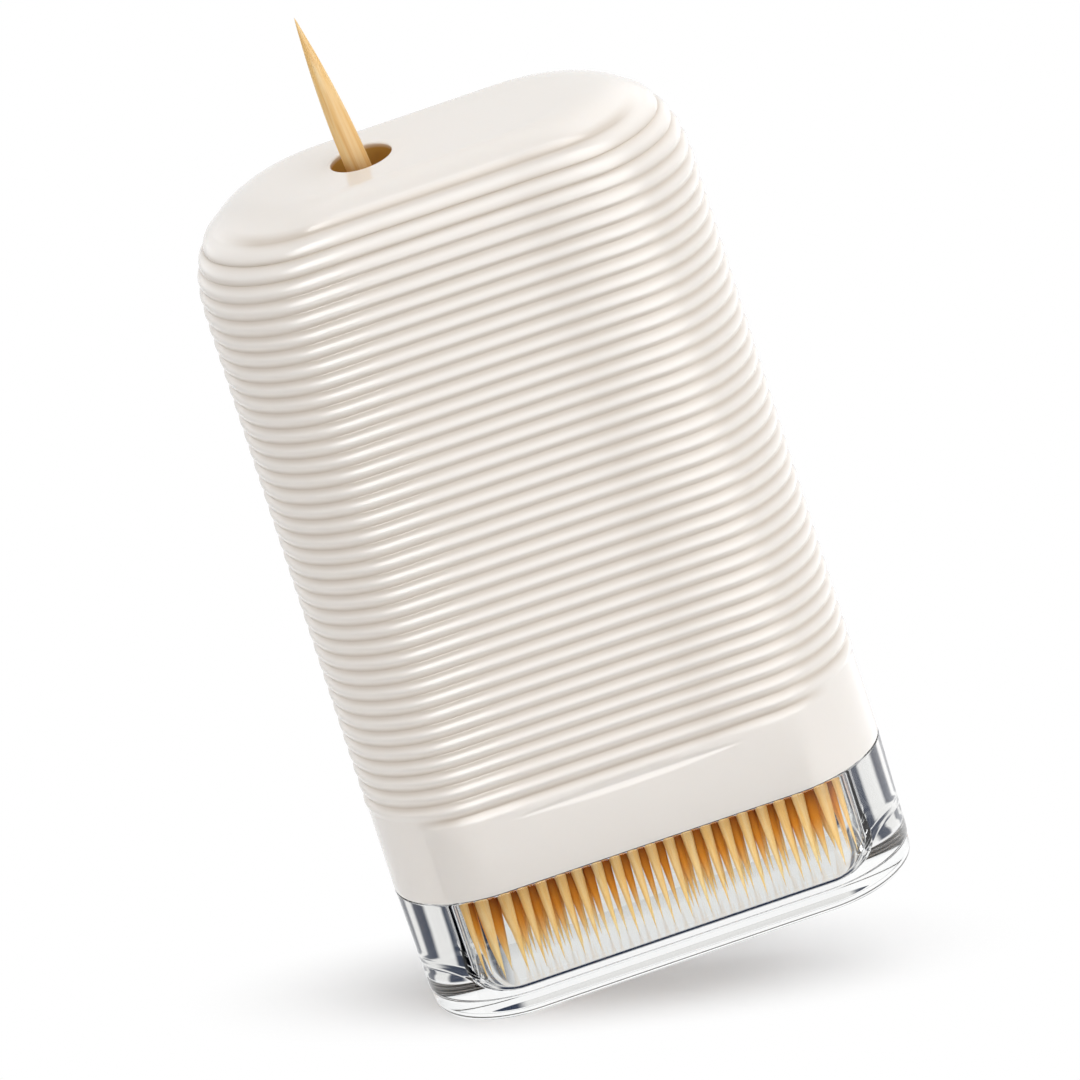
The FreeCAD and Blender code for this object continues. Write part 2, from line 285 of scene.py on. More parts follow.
def skin_loops(
    name: str,
    loops: Sequence[np.ndarray],
    closed: bool,
    vectors: dict[str, np.ndarray] | None = None,
    numbers: dict[str, np.ndarray] | None = None,
) -> bpy.types.Object:
    """Skin a run of closed loops that have equally many points.

    Args:
        name: Name of the piece.
        loops: Loops of points in millimetres, counter-clockwise seen from above as the
            run climbs the outside.
        closed: Join the last loop to the first.
        vectors: Named vector attributes, one row for each point.
        numbers: Named number attributes, one for each point.

    Returns:
        The piece, with doubled points merged.
    """
    points = np.concatenate(loops) * MM
    size = len(loops[0])
    rows = len(loops) if closed else len(loops) - 1
    lower = np.arange(rows)[:, None] * size
    upper = ((np.arange(rows)[:, None] + 1) % len(loops)) * size
    here = np.arange(size)[None, :]
    after = (here + 1) % size
    quads = np.stack([lower + here, lower + after, upper + after, upper + here], axis=2)
    mesh = bpy.data.meshes.new(name)
    mesh.from_pydata(points.tolist(), [], quads.reshape(-1, 4).tolist())
    for label, rows_of in (vectors or {}).items():
        attribute = mesh.attributes.new(label, "FLOAT_VECTOR", "POINT")
        attribute.data.foreach_set("vector", rows_of.astype(np.float32).ravel())
    for label, values in (numbers or {}).items():
        attribute = mesh.attributes.new(label, "FLOAT", "POINT")
        attribute.data.foreach_set("value", values.astype(np.float32).ravel())
    piece = add_object(name, mesh)
    merge_doubles(mesh)
    return piece


def merge_doubles(mesh: bpy.types.Mesh, distance: float = 2e-6) -> None:
    """Merge points that coincide, and drop the faces that collapse.

    Args:
        mesh: The mesh to clean.
        distance: Reach in metres.
    """
    work = bmesh.new()
    work.from_mesh(mesh)
    bmesh.ops.remove_doubles(work, verts=work.verts, dist=distance)
    bmesh.ops.dissolve_degenerate(work, edges=work.edges, dist=distance / 4)
    work.to_mesh(mesh)
    work.free()


def smooth_shade(piece: bpy.types.Object, crease_degrees: float) -> None:
    """Shade smooth, with sharp edges where faces meet at more than an angle.

    Args:
        piece: The piece.
        crease_degrees: Least angle of a sharp edge.
    """
    piece.data.polygons.foreach_set("use_smooth", [True] * len(piece.data.polygons))
    piece.data.set_sharp_from_angle(angle=math.radians(crease_degrees))


def grow(piece: bpy.types.Object, tree: bpy.types.NodeTree, inputs: dict[str, Any]) -> None:
    """Run a geometry tree on a piece and keep the plain mesh that it gives.

    Args:
        piece: The piece, linked to the scene.
        tree: The geometry tree.
        inputs: Input name to value.
    """
    modifier = piece.modifiers.new(tree.name, "NODES")
    modifier.node_group = tree
    for item in tree.interface.items_tree:
        if item.item_type == "SOCKET" and item.in_out == "INPUT" and item.name in inputs:
            modifier[item.identifier] = inputs[item.name]
    evaluated = piece.evaluated_get(bpy.context.evaluated_depsgraph_get())
    mesh = bpy.data.meshes.new_from_object(evaluated)
    piece.modifiers.clear()
    mesh.name = piece.name
    piece.data = mesh


class GeometryTree:
    """An empty geometry tree with named inputs and one geometry output."""

    KINDS = {float: "NodeSocketFloat", int: "NodeSocketInt"}

    def __init__(self, name: str, inputs: dict[str, float | int]) -> None:
        """Make the tree, its inputs and its output.

        Args:
            name: Name of the tree.
            inputs: Name of each number input to its value, whose type the socket takes.
        """
        self.tree = bpy.data.node_groups.new(name, "GeometryNodeTree")
        face = self.tree.interface
        face.new_socket(name="Geometry", in_out="INPUT", socket_type="NodeSocketGeometry")
        for label, value in inputs.items():
            face.new_socket(name=label, in_out="INPUT", socket_type=self.KINDS[type(value)])
        face.new_socket(name="Geometry", in_out="OUTPUT", socket_type="NodeSocketGeometry")
        self.wires = Wires(self.tree)
        self.inlet = self.wires.add("NodeGroupInput")
        self.outlet = self.wires.add("NodeGroupOutput")

    def value(self, label: str) -> Amount:
        """A named input as a number for sums."""
        return self.wires.amount(self.inlet.outputs[label])

    def stored(self, label: str, kind: str = "FLOAT") -> bpy.types.NodeSocket:
        """An attribute that the points carry."""
        node = self.wires.add("GeometryNodeInputNamedAttribute", {"data_type": kind}, {"Name": label})
        return node.outputs[0]

    def store(
        self, geometry: bpy.types.NodeSocket, label: str, value: Any, domain: str = "POINT"
    ) -> bpy.types.NodeSocket:
        """Store a number on each point or instance.

        Args:
            geometry: What gets the number.
            label: Name of the attribute.
            value: The number's socket or Amount.
            domain: "POINT" or "INSTANCE".

        Returns:
            The geometry with the attribute.
        """
        node = self.wires.add(
            "GeometryNodeStoreNamedAttribute",
            {"data_type": "FLOAT", "domain": domain},
            {"Geometry": geometry, "Name": label, "Value": value},
        )
        return node.outputs[0]

    def moved(self, geometry: bpy.types.NodeSocket, way: str, vector: bpy.types.Node) -> Any:
        """The geometry after Set Position, by way of its "Position" or its "Offset"."""
        node = self.wires.add("GeometryNodeSetPosition", None, {"Geometry": geometry, way: vector.outputs[0]})
        return node.outputs[0]

    def close(self, geometry: bpy.types.NodeSocket, material: bpy.types.Material) -> None:
        """End the tree in Realize Instances and Set Material.

        Args:
            geometry: The finished geometry.
            material: What it is made of.
        """
        real = self.wires.add("GeometryNodeRealizeInstances", None, {"Geometry": geometry})
        values = {"Geometry": real.outputs[0], "Material": material}
        dressed = self.wires.add("GeometryNodeSetMaterial", None, values)
        self.wires.feed(self.outlet.inputs[0], dressed.outputs[0])


# ---------------------------------------------------------------- finishes


class Surface:
    """A new material, its wires and its place pattern."""

    def __init__(self, name: str) -> None:
        """Make an empty material.

        Args:
            name: Name of the material.
        """
        self.material = bpy.data.materials.new(name)
        self.material.use_nodes = True
        self.wires = Wires(self.material.node_tree)
        self.output = self.wires.add("ShaderNodeOutputMaterial")

    def place(
        self,
        scale: tuple[float, float, float] = (1, 1, 1),
        turn: tuple[float, float, float] = (0, 0, 0),
    ) -> bpy.types.NodeSocket:
        """Object coordinates, as a turned and stretched pattern reads them.

        Args:
            scale: Stretch of the pattern along its own axes.
            turn: Turn of the pattern in radians about each axis.

        Returns:
            The vector's socket.
        """
        spot = self.wires.add("ShaderNodeTexCoord")
        mapping = self.wires.add(
            "ShaderNodeMapping",
            {"vector_type": "TEXTURE"},
            {"Vector": spot.outputs["Object"], "Rotation": turn, "Scale": scale},
        )
        return mapping.outputs[0]

    def axes(self) -> tuple[Amount, ...]:
        """Object coordinates, axis by axis."""
        return self.wires.axes(self.wires.add("ShaderNodeTexCoord").outputs["Object"])

    def noise(self, vector: bpy.types.NodeSocket, scale: float, detail: float = 3.0) -> Amount:
        """Soft noise from 0 to 1.

        Args:
            vector: Where to read it.
            scale: Features for each metre of the vector.
            detail: Octaves.

        Returns:
            The noise.
        """
        values = {"Vector": vector, "Scale": scale, "Detail": detail, "Roughness": 0.55}
        return self.wires.amount(self.wires.add("ShaderNodeTexNoise", None, values).outputs["Fac"])

    def attribute(self, label: str) -> Amount:
        """A number stored on the mesh."""
        node = self.wires.add("ShaderNodeAttribute", {"attribute_name": label})
        return self.wires.amount(node.outputs["Fac"])

    def bump(self, height: Amount, strength: float, distance: float) -> bpy.types.NodeSocket:
        """Normals from a height.

        Args:
            height: Height from 0 to 1.
            strength: Share of the effect.
            distance: Height of 1, in metres.

        Returns:
            The normal's socket.
        """
        values = {"Strength": strength, "Distance": distance, "Height": height}
        return self.wires.add("ShaderNodeBump", None, values).outputs[0]

    def finish(self, values: dict[str, Any]) -> bpy.types.Material:
        """Close the material with one plain shader.

        Args:
            values: Shader socket name to value, socket or Amount.

        Returns:
            The material.
        """
        return self.close(self.wires.add("ShaderNodeBsdfPrincipled", None, values))

    def close(self, shader: bpy.types.Node) -> bpy.types.Material:
        """End the material in a shader, and give it back."""
        self.wires.feed(self.output.inputs["Surface"], shader.outputs[0])
        return self.material


@dataclass(frozen=True)
class GlossCream:
    """Moulded off-white plastic, polished, with painted shade that darkens it in the rib grooves."""

    crest: Colour = srgb(246, 240, 233)
    # Colour of the painted shade in the rib grooves.
    groove_shade: Colour = srgb(214, 202, 188)
    # Painted shade and painted warm bounce from the wood, inside the hole's bore.
    passage_shade: Colour = srgb(206, 162, 84)
    roughness: float = 0.2
    coat: float = 0.6
    coat_roughness: float = 0.05
    passage_x: float = -5.9
    passage_radius: tuple[float, float] = (3.6, 3.3)
    passage_top: tuple[float, float] = (87.7, 87.2)

    def material(self) -> bpy.types.Material:
        """Build the material.

        Returns:
            The finished material.
        """
        surface = Surface("gloss_cream")
        wires = surface.wires
        broad = surface.noise(surface.place(), 60.0, 2.0)
        fine = surface.noise(surface.place(), 2600.0, 3.0)
        # The groove attribute is how much painted shade each point of a rib groove gets; the broad noise is
        # the plastic's own tone.
        groove = surface.attribute("groove")
        tint = wires.blend(groove + (broad - 0.5) * 0.06, self.crest, self.groove_shade)
        # Inside the hole's bore the colour turns to the painted shade and warm bounce.
        across, away, height = surface.axes()
        across = across - self.passage_x * MM
        radius = (across * across + away * away) ** 0.5
        inside = radius.ramp(*(edge * MM for edge in self.passage_radius))
        depth = height.ramp(*(level * MM for level in self.passage_top))
        colour = wires.blend(inside * depth, tint, self.passage_shade)
        return surface.finish(
            {
                "Base Color": colour,
                "Roughness": fine.ramp(0.3, 0.7, self.roughness - 0.02, self.roughness + 0.03),
                "Normal": surface.bump(fine, 0.05, 0.00002),
                "IOR": 1.5,
                "Coat Weight": self.coat,
                "Coat Roughness": self.coat_roughness,
                "Subsurface Weight": 0.12,
                "Subsurface Radius": (1.0, 0.85, 0.7),
                "Subsurface Scale": 0.0006,
            }
        )


@dataclass(frozen=True)
class ClearMoulding:
    """Thick clear moulding, polished, with a trace of flow in its surface."""

    tint: Colour = srgb(253, 253, 253)
    roughness: float = 0.0
    refraction: float = 1.41

    def material(self) -> bpy.types.Material:
        """Build the material.

        Returns:
            The finished material.
        """
        surface = Surface("clear_moulding")
        flow = surface.noise(surface.place((1.0, 1.0, 4.0)), 260.0, 2.0)
        haze = surface.noise(surface.place(), 900.0, 2.0)
        colour = surface.wires.blend(haze, self.tint, srgb(250, 252, 252))
        return surface.finish(
            {
                "Base Color": colour,
                "Roughness": haze.ramp(0.45, 0.75, self.roughness, self.roughness + 0.02),
                "Normal": surface.bump(flow, 0.03, 0.00005),
                "IOR": self.refraction,
                "Transmission Weight": 1.0,
            }
        )


@dataclass(frozen=True)
class TurnedWood:
    """Pale golden wood with fine fibres along the pick.

    Packed toothpicks get painted shade among the others, first to the lighter and then to the darker shade
    colour, over the heights given, and only low down, where they show through the cup.
    """

    name: str = "turned_wood"
    pale: Colour = srgb(250, 216, 158)
    golden: Colour = srgb(242, 196, 122)
    fibre: Colour = srgb(218, 160, 88)
    packed_shade: Colour = srgb(242, 162, 54)
    # Colours of the painted shade among the packed picks, lighter and darker.
    deep_packed_shade: Colour = srgb(138, 58, 6)
    shine: float = 0.4
    lean: float = 0.0
    packed: bool = False
    fineness: float = 3800.0
    packed_heights: tuple[float, float] = (30.0, 16.0)
    packed_shade_heights: tuple[float, float] = (4.0, 8.5)
    deep_packed_shade_heights: tuple[float, float] = (7.5, 13.0)

    def material(self) -> bpy.types.Material:
        """Build the material.

        Returns:
            The finished material.
        """
        surface = Surface(self.name)
        wires = surface.wires
        along = surface.place((1.0, 1.0, 60.0), (0.0, -self.lean, 0.0))
        cloud = surface.noise(surface.place((1.0, 1.0, 8.0), (0.0, -self.lean, 0.0)), 500.0, 2.0)
        grain = surface.noise(along, self.fineness, 2.0)
        lines = surface.noise(along, self.fineness * 1.7, 1.0)
        base = wires.blend(grain.ramp(0.36, 0.64, smooth=True), self.golden, self.pale)
        share = lines.ramp(0.56, 0.72, smooth=True) * 0.35 + cloud.ramp(0.45, 0.75) * 0.2
        if self.packed:
            share = share + surface.attribute("pick_tone") * 0.3
        colour = wires.blend(share.least(1.0), base, self.fibre)
        if self.packed:
            height = surface.axes()[2]
            levels = (self.packed_heights, self.packed_shade_heights, self.deep_packed_shade_heights)
            packed, low, high = (
                height.ramp(start * MM, end * MM, smooth=True) for start, end in levels
            )
            # Painted shade among the packed picks: none at their feet, deepening up to the cup's rim and
            # fading out above it.
            inwards = surface.attribute("pick_depth") * packed
            colour = wires.blend(inwards * low, colour, self.packed_shade)
            colour = wires.blend(inwards * high, colour, self.deep_packed_shade)
        relief = grain * 0.6 + lines * 0.4
        return surface.finish(
            {
                "Base Color": colour,
                "Roughness": grain.ramp(0.3, 0.7, 0.62, 0.46),
                "Normal": surface.bump(relief, 0.25, 0.00003),
                "IOR": 1.5,
                "Specular IOR Level": self.shine,
            }
        )


@dataclass(frozen=True)
class MattMoulding:
    """Matt moulded plastic or soft silicone of one colour, finely textured."""

    name: str
    light: Colour
    dark: Colour
    roughness: float

    def material(self) -> bpy.types.Material:
        """Build the material.

        Returns:
            The finished material.
        """
        surface = Surface(self.name)
        fine = surface.noise(surface.place(), 2200.0, 4.0)
        broad = surface.noise(surface.place(), 120.0, 2.0)
        colour = surface.wires.blend((fine * 0.5 + broad * 0.5).ramp(0.35, 0.65), self.dark, self.light)
        return surface.finish(
            {
                "Base Color": colour,
                "Roughness": fine.ramp(0.3, 0.7, self.roughness - 0.06, self.roughness + 0.06),
                "Normal": surface.bump(fine, 0.2, 0.00003),
                "IOR": 1.48,
            }
        )


# ---------------------------------------------------------------- shared outlines


@dataclass(frozen=True)
class BodySize:
    """Main sizes that cover and base share."""

    width: float = 50.0
    depth: float = 20.0
    height: float = 87.8
    seam: float = 13.6
    wall: float = 1.6
    top_wall: float = 1.8
    hole_x: float = -5.9
    hole_radius: float = 3.1

    @property
    def inner_width(self) -> float:
        """Half width inside the cover."""
        return self.width / 2 - self.wall

    @property
    def inner_depth(self) -> float:
        """Half depth inside the cover."""
        return self.depth / 2 - self.wall

    @property
    def ceiling(self) -> float:
        """Height of the cover's ceiling."""
        return self.height - self.top_wall


def level_loop(xs: np.ndarray, ys: np.ndarray, height: float) -> np.ndarray:
    """Points at one height."""
    return np.stack([xs, ys, np.full(len(xs), height)], axis=1)


def both_halves(
    end_x: np.ndarray, end_y: np.ndarray, reach: float, half_depth: float, height: float, side_steps: int
) -> np.ndarray:
    """Level loop made of an end, a long side, and the same two turned half round.

    Args:
        end_x: The right end's points along X, from its lower side on.
        end_y: The right end's points along Y.
        reach: Where the long sides stop along X.
        half_depth: Reach of the long sides along Y.
        height: Height of the loop.
        side_steps: Steps along each side.

    Returns:
        Its points.
    """
    run = np.linspace(reach, -reach, side_steps + 1)[1:-1]
    side = np.full(len(run), half_depth)
    xs = np.concatenate([end_x, run, -end_x, -run])
    ys = np.concatenate([end_y, side, -end_y, -side])
    return level_loop(xs, ys, height)


def stadium_loop(
    half_width: float, half_depth: float, height: float, end_steps: int, side_steps: int
) -> np.ndarray:
    """Level loop with straight long sides and half-round ends.

    Args:
        half_width: Reach along X.
        half_depth: Reach along Y, and the ends' radius.
        height: Height of the loop.
        end_steps: Steps round each end.
        side_steps: Steps along each side.

    Returns:
        Its points.
    """
    centre = half_width - half_depth
    turn = np.linspace(-math.pi / 2, math.pi / 2, end_steps + 1)
    end_x, end_y = centre + half_depth * np.cos(turn), half_depth * np.sin(turn)
    return both_halves(end_x, end_y, centre, half_depth, height, side_steps)


def rounded_loop(
    half_width: float, half_depth: float, corner: float, height: float, end_steps: int, side_steps: int
) -> np.ndarray:
    """Level rounded rectangle whose points match a stadium loop's one by one.

    Args:
        half_width: Reach along X.
        half_depth: Reach along Y.
        corner: Radius of the corners.
        height: Height of the loop.
        end_steps: Steps round each end.
        side_steps: Steps along each side.

    Returns:
        Its points.
    """
    bend = int(end_steps * BEND_SHARE)
    straight = end_steps - 2 * bend
    x_in, y_in = half_width - corner, half_depth - corner
    first = np.linspace(-math.pi / 2, 0, bend + 1)
    rise = np.linspace(-y_in, y_in, straight + 1)[1:-1]
    bend_x, bend_y = x_in + corner * np.cos(first), y_in - corner * np.sin(first)
    end_x = np.concatenate([bend_x, np.full(len(rise), half_width), bend_x[::-1]])
    end_y = np.concatenate([-bend_y, rise, bend_y[::-1]])
    return both_halves(end_x, end_y, x_in, half_depth, height, side_steps)


def circle_like(loop: np.ndarray, centre_x: float, radius: float, height: float) -> np.ndarray:
    """Level circle whose points lie in the same directions as a loop's.

    Args:
        loop: The loop to follow.
        centre_x: Centre of the circle on the X axis.
        radius: Its radius.
        height: Its height.

    Returns:
        Its points.
    """
    angle = np.arctan2(loop[:, 1], loop[:, 0] - centre_x)
    return level_loop(centre_x + radius * np.cos(angle), radius * np.sin(angle), height)


def quarter(radius: float, *degrees: float) -> list[tuple[float, float]]:
    """Points round a quarter circle, as distances from the two sides that it touches.

    Args:
        radius: Radius of the circle.
        degrees: Angle of each point.

    Returns:
        What the cosine and what the sine leave of the radius, for each angle.
    """
    turns = [math.radians(float(angle)) for angle in degrees]
    return [(radius * (1 - math.cos(turn)), radius * (1 - math.sin(turn))) for turn in turns]


def drawn_in(height: float, top: float, reach_in: float, reach_down: float, power: float) -> float:
    """How far a rounded shoulder has drawn in at a height.

    Args:
        height: Where to measure.
        top: Height of the top.
        reach_in: Reach inwards at the top.
        reach_down: Where the shoulder starts, below the top.
        power: Fullness of the curve.

    Returns:
        The distance, 0 below the shoulder.
    """
    climb = min(max((height - top + reach_down) / reach_down, 0.0), 1.0)
    return reach_in * (1 - (1 - climb**power) ** (1 / power))


# ---------------------------------------------------------------- ribbed cover


@dataclass
class RibbedCover:
    """Glossy ribbed cover with its hole, the bore below it, socket and hollow."""

    size: BodySize = field(default_factory=BodySize)
    finish: GlossCream = field(default_factory=GlossCream)
    end_steps: int = 56
    side_steps: int = 26
    end_in: float = 11.0
    end_down: float = 11.0
    end_power: float = 2.4
    side_in: float = 3.5
    side_down: float = 8.0
    rib_depth: float = 0.3
    close_pitch: float = 1.675
    wide_pitch: float = 1.8
    plain_band: float = 7.1
    low_ribs: int = 2
    close_ribs: int = 30
    high_ribs: int = 5
    rib_rows: int = 10
    crease_half: float = 11.5
    crease_depth: float = 0.22
    crease_slope: float = 2.5
    edge: float = 0.15
    lip: float = 0.22
    band_low: float = 14.4
    throat_top: float = 83.0
    socket_radius: float = 4.8
    boss_radius: float = 5.9
    boss_foot: float = 79.35
    hollow_flare: float = 0.1
    fade_start: float = 18.0
    fade_end: float = 21.8
    rounder: float = 1.25
    crisper: float = 0.6
    crisp_ribs: float = 5.0

    @property
    def first_groove(self) -> float:
        """Height of the lowest groove."""
        return self.size.seam + self.plain_band + self.wide_pitch

    @property
    def first_close(self) -> float:
        """Height where the close ribs start."""
        return self.first_groove + self.low_ribs * self.wide_pitch

    @property
    def last_close(self) -> float:
        """Height where the close ribs end."""
        return self.first_close + self.close_ribs * self.close_pitch

    @property
    def last_groove(self) -> float:
        """Height of the topmost groove."""
        return self.last_close + self.high_ribs * self.wide_pitch

    def loop(self, half_width: float, half_depth: float, height: float) -> np.ndarray:
        """One level loop of the cover."""
        return stadium_loop(half_width, half_depth, height, self.end_steps, self.side_steps)

    def shoulder(self, height: float, wall: float = 0.0, top_wall: float = 0.0) -> tuple[float, float]:
        """How far the ends and the sides have drawn in at a height.

        Args:
            height: Where to measure.
            wall: Thickness of the wall, for the hollow's shoulder.
            top_wall: Thickness of the top, for the hollow's shoulder.

        Returns:
            The distance at the ends and the one at the sides.
        """
        top = self.size.height - top_wall
        end = drawn_in(height, top, self.end_in - wall, self.end_down - top_wall, self.end_power)
        return end, drawn_in(height, top, self.side_in - wall, self.side_down - top_wall, 2.0)

    def outline(self, height: float) -> np.ndarray:
        """Smooth outer outline at a height, without ribs."""
        end, side = self.shoulder(height)
        return self.loop(self.size.width / 2 - end, self.size.depth / 2 - side, height)

    def climb(self, heights: np.ndarray, endways: np.ndarray) -> np.ndarray:
        """How much the outside leans back at each point, as rise of its normal.

        Args:
            heights: Height of each point.
            endways: Share of each point's level normal along X.

        Returns:
            Rise of the normal for each unit outwards.
        """
        step = 0.01
        rises = []
        for height in np.minimum(heights, self.size.height - 1.0):
            spread = zip(self.shoulder(height - step), self.shoulder(height + step))
            rises.append([(high - low) / (2 * step) for low, high in spread])
        end_rise, side_rise = np.array(rises).T
        return side_rise + (end_rise - side_rise) * endways

    def rib_heights(self) -> list[float]:
        """Heights of the rows through the ribs, close together at the grooves.

        Returns:
            The heights, lowest first.
        """
        shares = 0.5 - 0.5 * np.cos(np.linspace(0, math.pi, self.rib_rows + 1)[:-1])
        shares = 0.55 * shares + 0.45 * np.linspace(0, 1, self.rib_rows + 1)[:-1]
        grooves = [self.first_groove + step * self.wide_pitch for step in range(self.low_ribs)]
        grooves += [self.first_close + step * self.close_pitch for step in range(self.close_ribs)]
        grooves += [self.last_close + step * self.wide_pitch for step in range(self.high_ribs + 1)]
        heights: list[float] = []
        for low, high in zip(grooves, grooves[1:]):
            heights += [low + share * (high - low) for share in shares]
        return heights + [grooves[-1]]

    def outer_loops(self) -> list[np.ndarray]:
        """Loops from the rounded lower edge up to the edge of the flat top.

        Returns:
            The loops in order.
        """
        loops = []
        for lift, drop in quarter(self.edge, 0, 30, 60, 90):
            half_width, half_depth = self.size.width / 2 - drop, self.size.depth / 2 - drop
            loops.append(self.loop(half_width, half_depth, self.size.seam + lift))
        crease = self.size.seam + self.plain_band
        reach = self.crease_depth * self.crease_slope
        heights = list(np.linspace(self.band_low, crease - reach - self.edge, 5))
        heights += list(crease + reach * np.linspace(-1, 1, 9))
        heights += list(np.linspace(self.first_groove - self.wide_pitch / 2, self.first_groove, 7)[:-1])
        heights += self.rib_heights()
        for height in heights:
            loop = self.outline(height)
            flat = np.abs(np.abs(loop[:, 1]) - self.size.depth / 2) < 1e-6
            depth = self.crease_depth * np.clip(1 - (loop[:, 0] / self.crease_half) ** 2, 0, 1)
            press = np.clip(depth - abs(height - crease) / self.crease_slope, 0, None) * flat
            loop[:, 1] -= np.sign(loop[:, 1]) * press
            loops.append(loop)
        start = (self.last_groove - self.size.height + self.end_down) / self.end_down
        first = math.asin(start ** (self.end_power / 2))
        for angle in np.linspace(first, math.pi / 2, 17)[1:]:
            climb = math.sin(angle) ** (2 / self.end_power)
            loops.append(self.outline(self.size.height - self.end_down * (1 - climb)))
        return loops

    def inner_loops(self, top: np.ndarray) -> list[np.ndarray]:
        """Loops over the flat top, down the hole and round the hollow to its lower edge.

        Args:
            top: The loop at the edge of the flat top.

        Returns:
            The loops in order.
        """
        size = self.size
        loops = []
        rim = circle_like(top, size.hole_x, size.hole_radius + self.lip, size.height)
        for share in np.linspace(0, 1, 13)[1:]:
            loops.append(top * (1 - share) + rim * share)
        lip = quarter(self.lip, 22, 45, 68, 90)
        steps = [(size.hole_radius + outwards, size.height - down) for down, outwards in lip]
        steps += [(size.hole_radius, height) for height in (86.6, 85.2, 84.0, self.throat_top)]
        steps += [(self.socket_radius, height) for height in (self.throat_top, 81.2, self.boss_foot)]
        steps += [(self.boss_radius, height) for height in (self.boss_foot, 82.0, 84.5, size.ceiling)]
        loops += [circle_like(top, size.hole_x, radius, height) for radius, height in steps]
        down = self.end_down - size.top_wall
        for share in (1.0, 0.997, 0.98, 0.94, 0.87, 0.75, 0.6, 0.4, 0.2, 0.0):
            height = size.ceiling - down * (1 - share)
            end, side = self.shoulder(height, size.wall, size.top_wall)
            loops.append(self.loop(size.inner_width - end, size.inner_depth - side, height))
        flare = self.hollow_flare
        for height in (66.0, 52.0, 38.0, 24.0, 18.0, size.seam + flare):
            loops.append(self.loop(size.inner_width, size.inner_depth, height))
        loops.append(self.loop(size.inner_width + flare, size.inner_depth + flare, size.seam))
        return loops

    def rib_tree(self, material: bpy.types.Material) -> bpy.types.NodeTree:
        """Geometry tree that swells the smooth wall into ribs and stores the share of painted shade in their
        grooves.

        Args:
            material: What the cover is made of.

        Returns:
            The tree.
        """
        tree = GeometryTree("moulded_ribs", self.rib_sizes())
        wires = tree.wires
        across, _, height = wires.axes(wires.add("GeometryNodeInputPosition").outputs[0])
        low, high = tree.value("Low Ribs"), tree.value("High Ribs")
        close = tree.value("Close Ribs")
        wide = tree.value("Wide Pitch")
        first = tree.value("First Groove")
        first_close = first + low * wide
        last_close = first_close + close * tree.value("Close Pitch")
        last = last_close + high * wide
        count = low + close + high
        phase = height.ramp(first, first_close, 0.0, low)
        phase = phase + height.ramp(first_close, last_close, 0.0, close)
        phase = phase + height.ramp(last_close, last, 0.0, high)
        fullness = phase.ramp(count - self.crisp_ribs, count - 0.5, self.rounder, self.crisper)
        swell = abs((phase * math.pi).sine()) ** fullness
        offset = (swell - 0.5) * tree.value("Rib Depth")
        half = wide * 0.5
        outer = height.ramp(first - half, first, smooth=True) * height.ramp(last + half, last, smooth=True)
        round_end = abs(across).ramp(tree.value("Fade Start"), tree.value("Fade End"), smooth=True)
        end_rib = phase.ramp(0.5, 0.45) + phase.ramp(count - 0.5, count - 0.45)
        faded = round_end * end_rib
        offset = offset * (1 - faded) + offset.most(0.0) * faded
        ribbed = wires.amount(tree.stored("ribbed"))
        values = {0: tree.stored("outward", "FLOAT_VECTOR"), "Scale": offset * outer * ribbed}
        push = wires.add("ShaderNodeVectorMath", {"operation": "SCALE"}, values)
        # Share of painted shade in each groove, kept as the groove attribute for the cover's material.
        depth = (1 - swell**1.3) * outer * ribbed * (1 - faded)
        grooved = tree.store(tree.inlet.outputs["Geometry"], "groove", depth)
        tree.close(tree.moved(grooved, "Offset", push), material)
        return tree.tree

    def rib_sizes(self) -> dict[str, float | int]:
        """Gather the sizes that the ribs' geometry tree takes.

        Returns:
            Input name to value.
        """
        return {
            "First Groove": self.first_groove * MM,
            "Wide Pitch": self.wide_pitch * MM,
            "Close Pitch": self.close_pitch * MM,
            "Low Ribs": self.low_ribs,
            "Close Ribs": self.close_ribs,
            "High Ribs": self.high_ribs,
            "Rib Depth": self.rib_depth * MM,
            "Fade Start": self.fade_start * MM,
            "Fade End": self.fade_end * MM,
        }

    def build(self) -> bpy.types.Object:
        """Build the cover's mesh, grow its ribs and dress it.

        Returns:
            The cover.
        """
        outer = self.outer_loops()
        loops = outer + self.inner_loops(outer[-1])
        size = len(outer[0])
        straight = np.concatenate(loops)
        core = self.size.width / 2 - self.size.depth / 2
        away = straight.copy()
        away[:, 0] -= np.clip(away[:, 0], -core, core)
        away[:, 2] = 0
        away /= np.maximum(np.linalg.norm(away, axis=1, keepdims=True), SMALLEST)
        away[:, 2] = self.climb(straight[:, 2], np.abs(away[:, 0]))
        away /= np.linalg.norm(away, axis=1, keepdims=True)
        ribbed = np.zeros(len(straight))
        ribbed[: len(outer) * size] = 1
        cover = skin_loops("ribbed_cover", loops, True, {"outward": away}, {"ribbed": ribbed})
        grow(cover, self.rib_tree(self.finish.material()), self.rib_sizes())
        smooth_shade(cover, 60)
        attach(cover, Body.COVER.value)
        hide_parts("cover_shell")
        return cover


# ---------------------------------------------------------------- clear base


